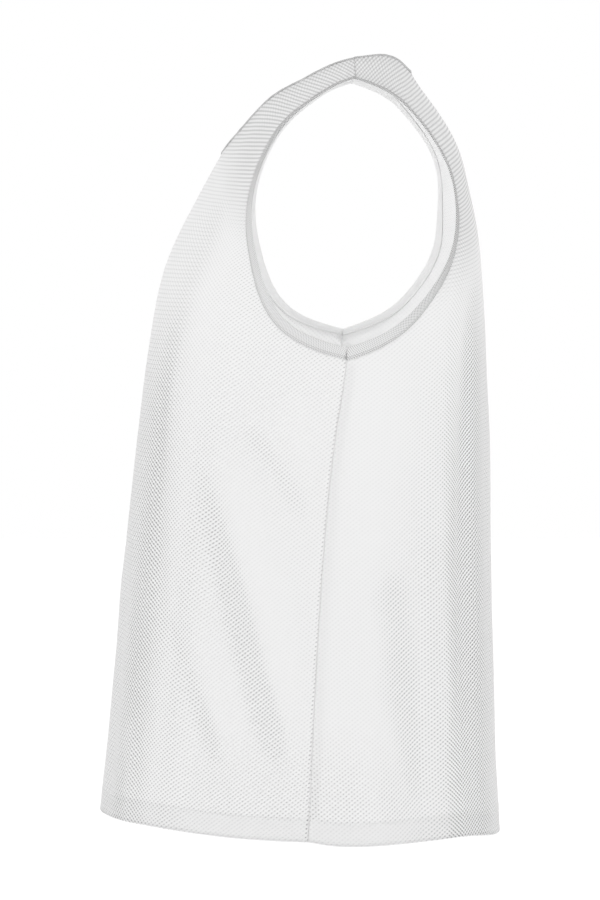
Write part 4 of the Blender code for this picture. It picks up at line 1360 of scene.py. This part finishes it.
class BIB_OT_stage(bpy.types.Operator):
    """Make the floor, the white surround, the lights and the camera"""

    bl_idname = "bib.stage"
    bl_label = "Stage"

    def execute(self, context):
        scene = context.scene
        stage = scene.bib_stage
        lowest, highest = (Vector(corner) for corner in CAD_BOX)
        centre = (lowest + highest) / 2

        world = bpy.data.worlds.new("studio")
        world.use_nodes = True
        surround = world.node_tree.nodes["Background"]
        surround.inputs["Color"].default_value = (1.0, 1.0, 1.0, 1.0)
        path = world.node_tree.nodes.new("ShaderNodeLightPath")
        world.node_tree.links.new(ramp(world.node_tree, path.outputs["Is Camera Ray"], 0.0, 1.0,
                                       stage.surround, 1.0), surround.inputs["Strength"])
        scene.world = world
        scene.view_settings.view_transform = "Standard"

        paint, _, shader = new_material("floor_paint", roughness=0.9)
        shader.inputs["Base Color"].default_value = (0.92, 0.92, 0.92, 1.0)
        shader.inputs["Emission Color"].default_value = (1.0, 1.0, 1.0, 1.0)
        shader.inputs["Emission Strength"].default_value = stage.floor_glow
        bm = bmesh.new()
        bmesh.ops.create_grid(bm, x_segments=1, y_segments=1, size=FLOOR_HALF_WIDTH,
                              matrix=Matrix.Translation((0, 0, lowest.z - stage.floor_drop)))
        add_mesh("floor", bm, paint)

        add_area_light("key_light", KEY_PLACE, centre, stage.key)
        add_area_light("fill_light", FILL_PLACE, centre, stage.fill)
        data = bpy.data.lights.new("inner_light", "POINT")
        data.energy = stage.inner
        data.shadow_soft_size = INNER_LIGHT_SIZE
        light = add_object("inner_light", data)
        light.location = INNER_PLACE
        light.visible_camera = False

        data = bpy.data.cameras.new("camera")
        data.lens = stage.lens
        data.sensor_width = 36.0
        camera = add_object("camera", data)
        camera.location = CAMERA_PLACE
        camera.rotation_euler = (math.pi / 2 - math.atan(CAMERA_FALL), 0.0, math.pi / 2)
        scene.camera = camera
        return {"FINISHED"}


class BIB_PT_sidebar(bpy.types.Panel):
    """Sizes, colours and making of the bib"""

    bl_idname = "BIB_PT_sidebar"
    bl_label = "Training Bib"
    bl_space_type = "VIEW_3D"
    bl_region_type = "UI"
    bl_category = "Bib"

    def draw(self, context):
        layout = self.layout
        for settings in (context.scene.bib_cloth, context.scene.bib_sewing, context.scene.bib_stage):
            box = layout.box()
            for name in settings.bl_rna.properties.keys():
                if name not in ("rna_type", "name"):
                    box.prop(settings, name)
        for operator in OPERATORS:
            layout.operator(operator.bl_idname)


SETTINGS = (
    ("bib_cloth", BibClothSettings),
    ("bib_sewing", BibSewingSettings),
    ("bib_stage", BibStageSettings),
)
OPERATORS = (BIB_OT_panels, BIB_OT_bindings, BIB_OT_hems, BIB_OT_seams, BIB_OT_stitches, BIB_OT_stage)


def register():
    """Make the settings, the operators and the panel known to Blender."""
    for name, group in SETTINGS:
        bpy.utils.register_class(group)
        setattr(bpy.types.Scene, name, PointerProperty(type=group))
    for item in (*OPERATORS, BIB_PT_sidebar):
        bpy.utils.register_class(item)


def unregister():
    """Take them away again."""
    for item in reversed((*OPERATORS, BIB_PT_sidebar)):
        bpy.utils.unregister_class(item)
    for name, group in SETTINGS:
        delattr(bpy.types.Scene, name)
        bpy.utils.unregister_class(group)


def main():
    """Make the whole bib and its stage."""
    register()
    bpy.ops.bib.panels()
    bpy.ops.bib.bindings()
    bpy.ops.bib.hems()
    bpy.ops.bib.seams()
    bpy.ops.bib.stitches()
    bpy.ops.bib.stage()


if __name__ == "__main__":
    main()
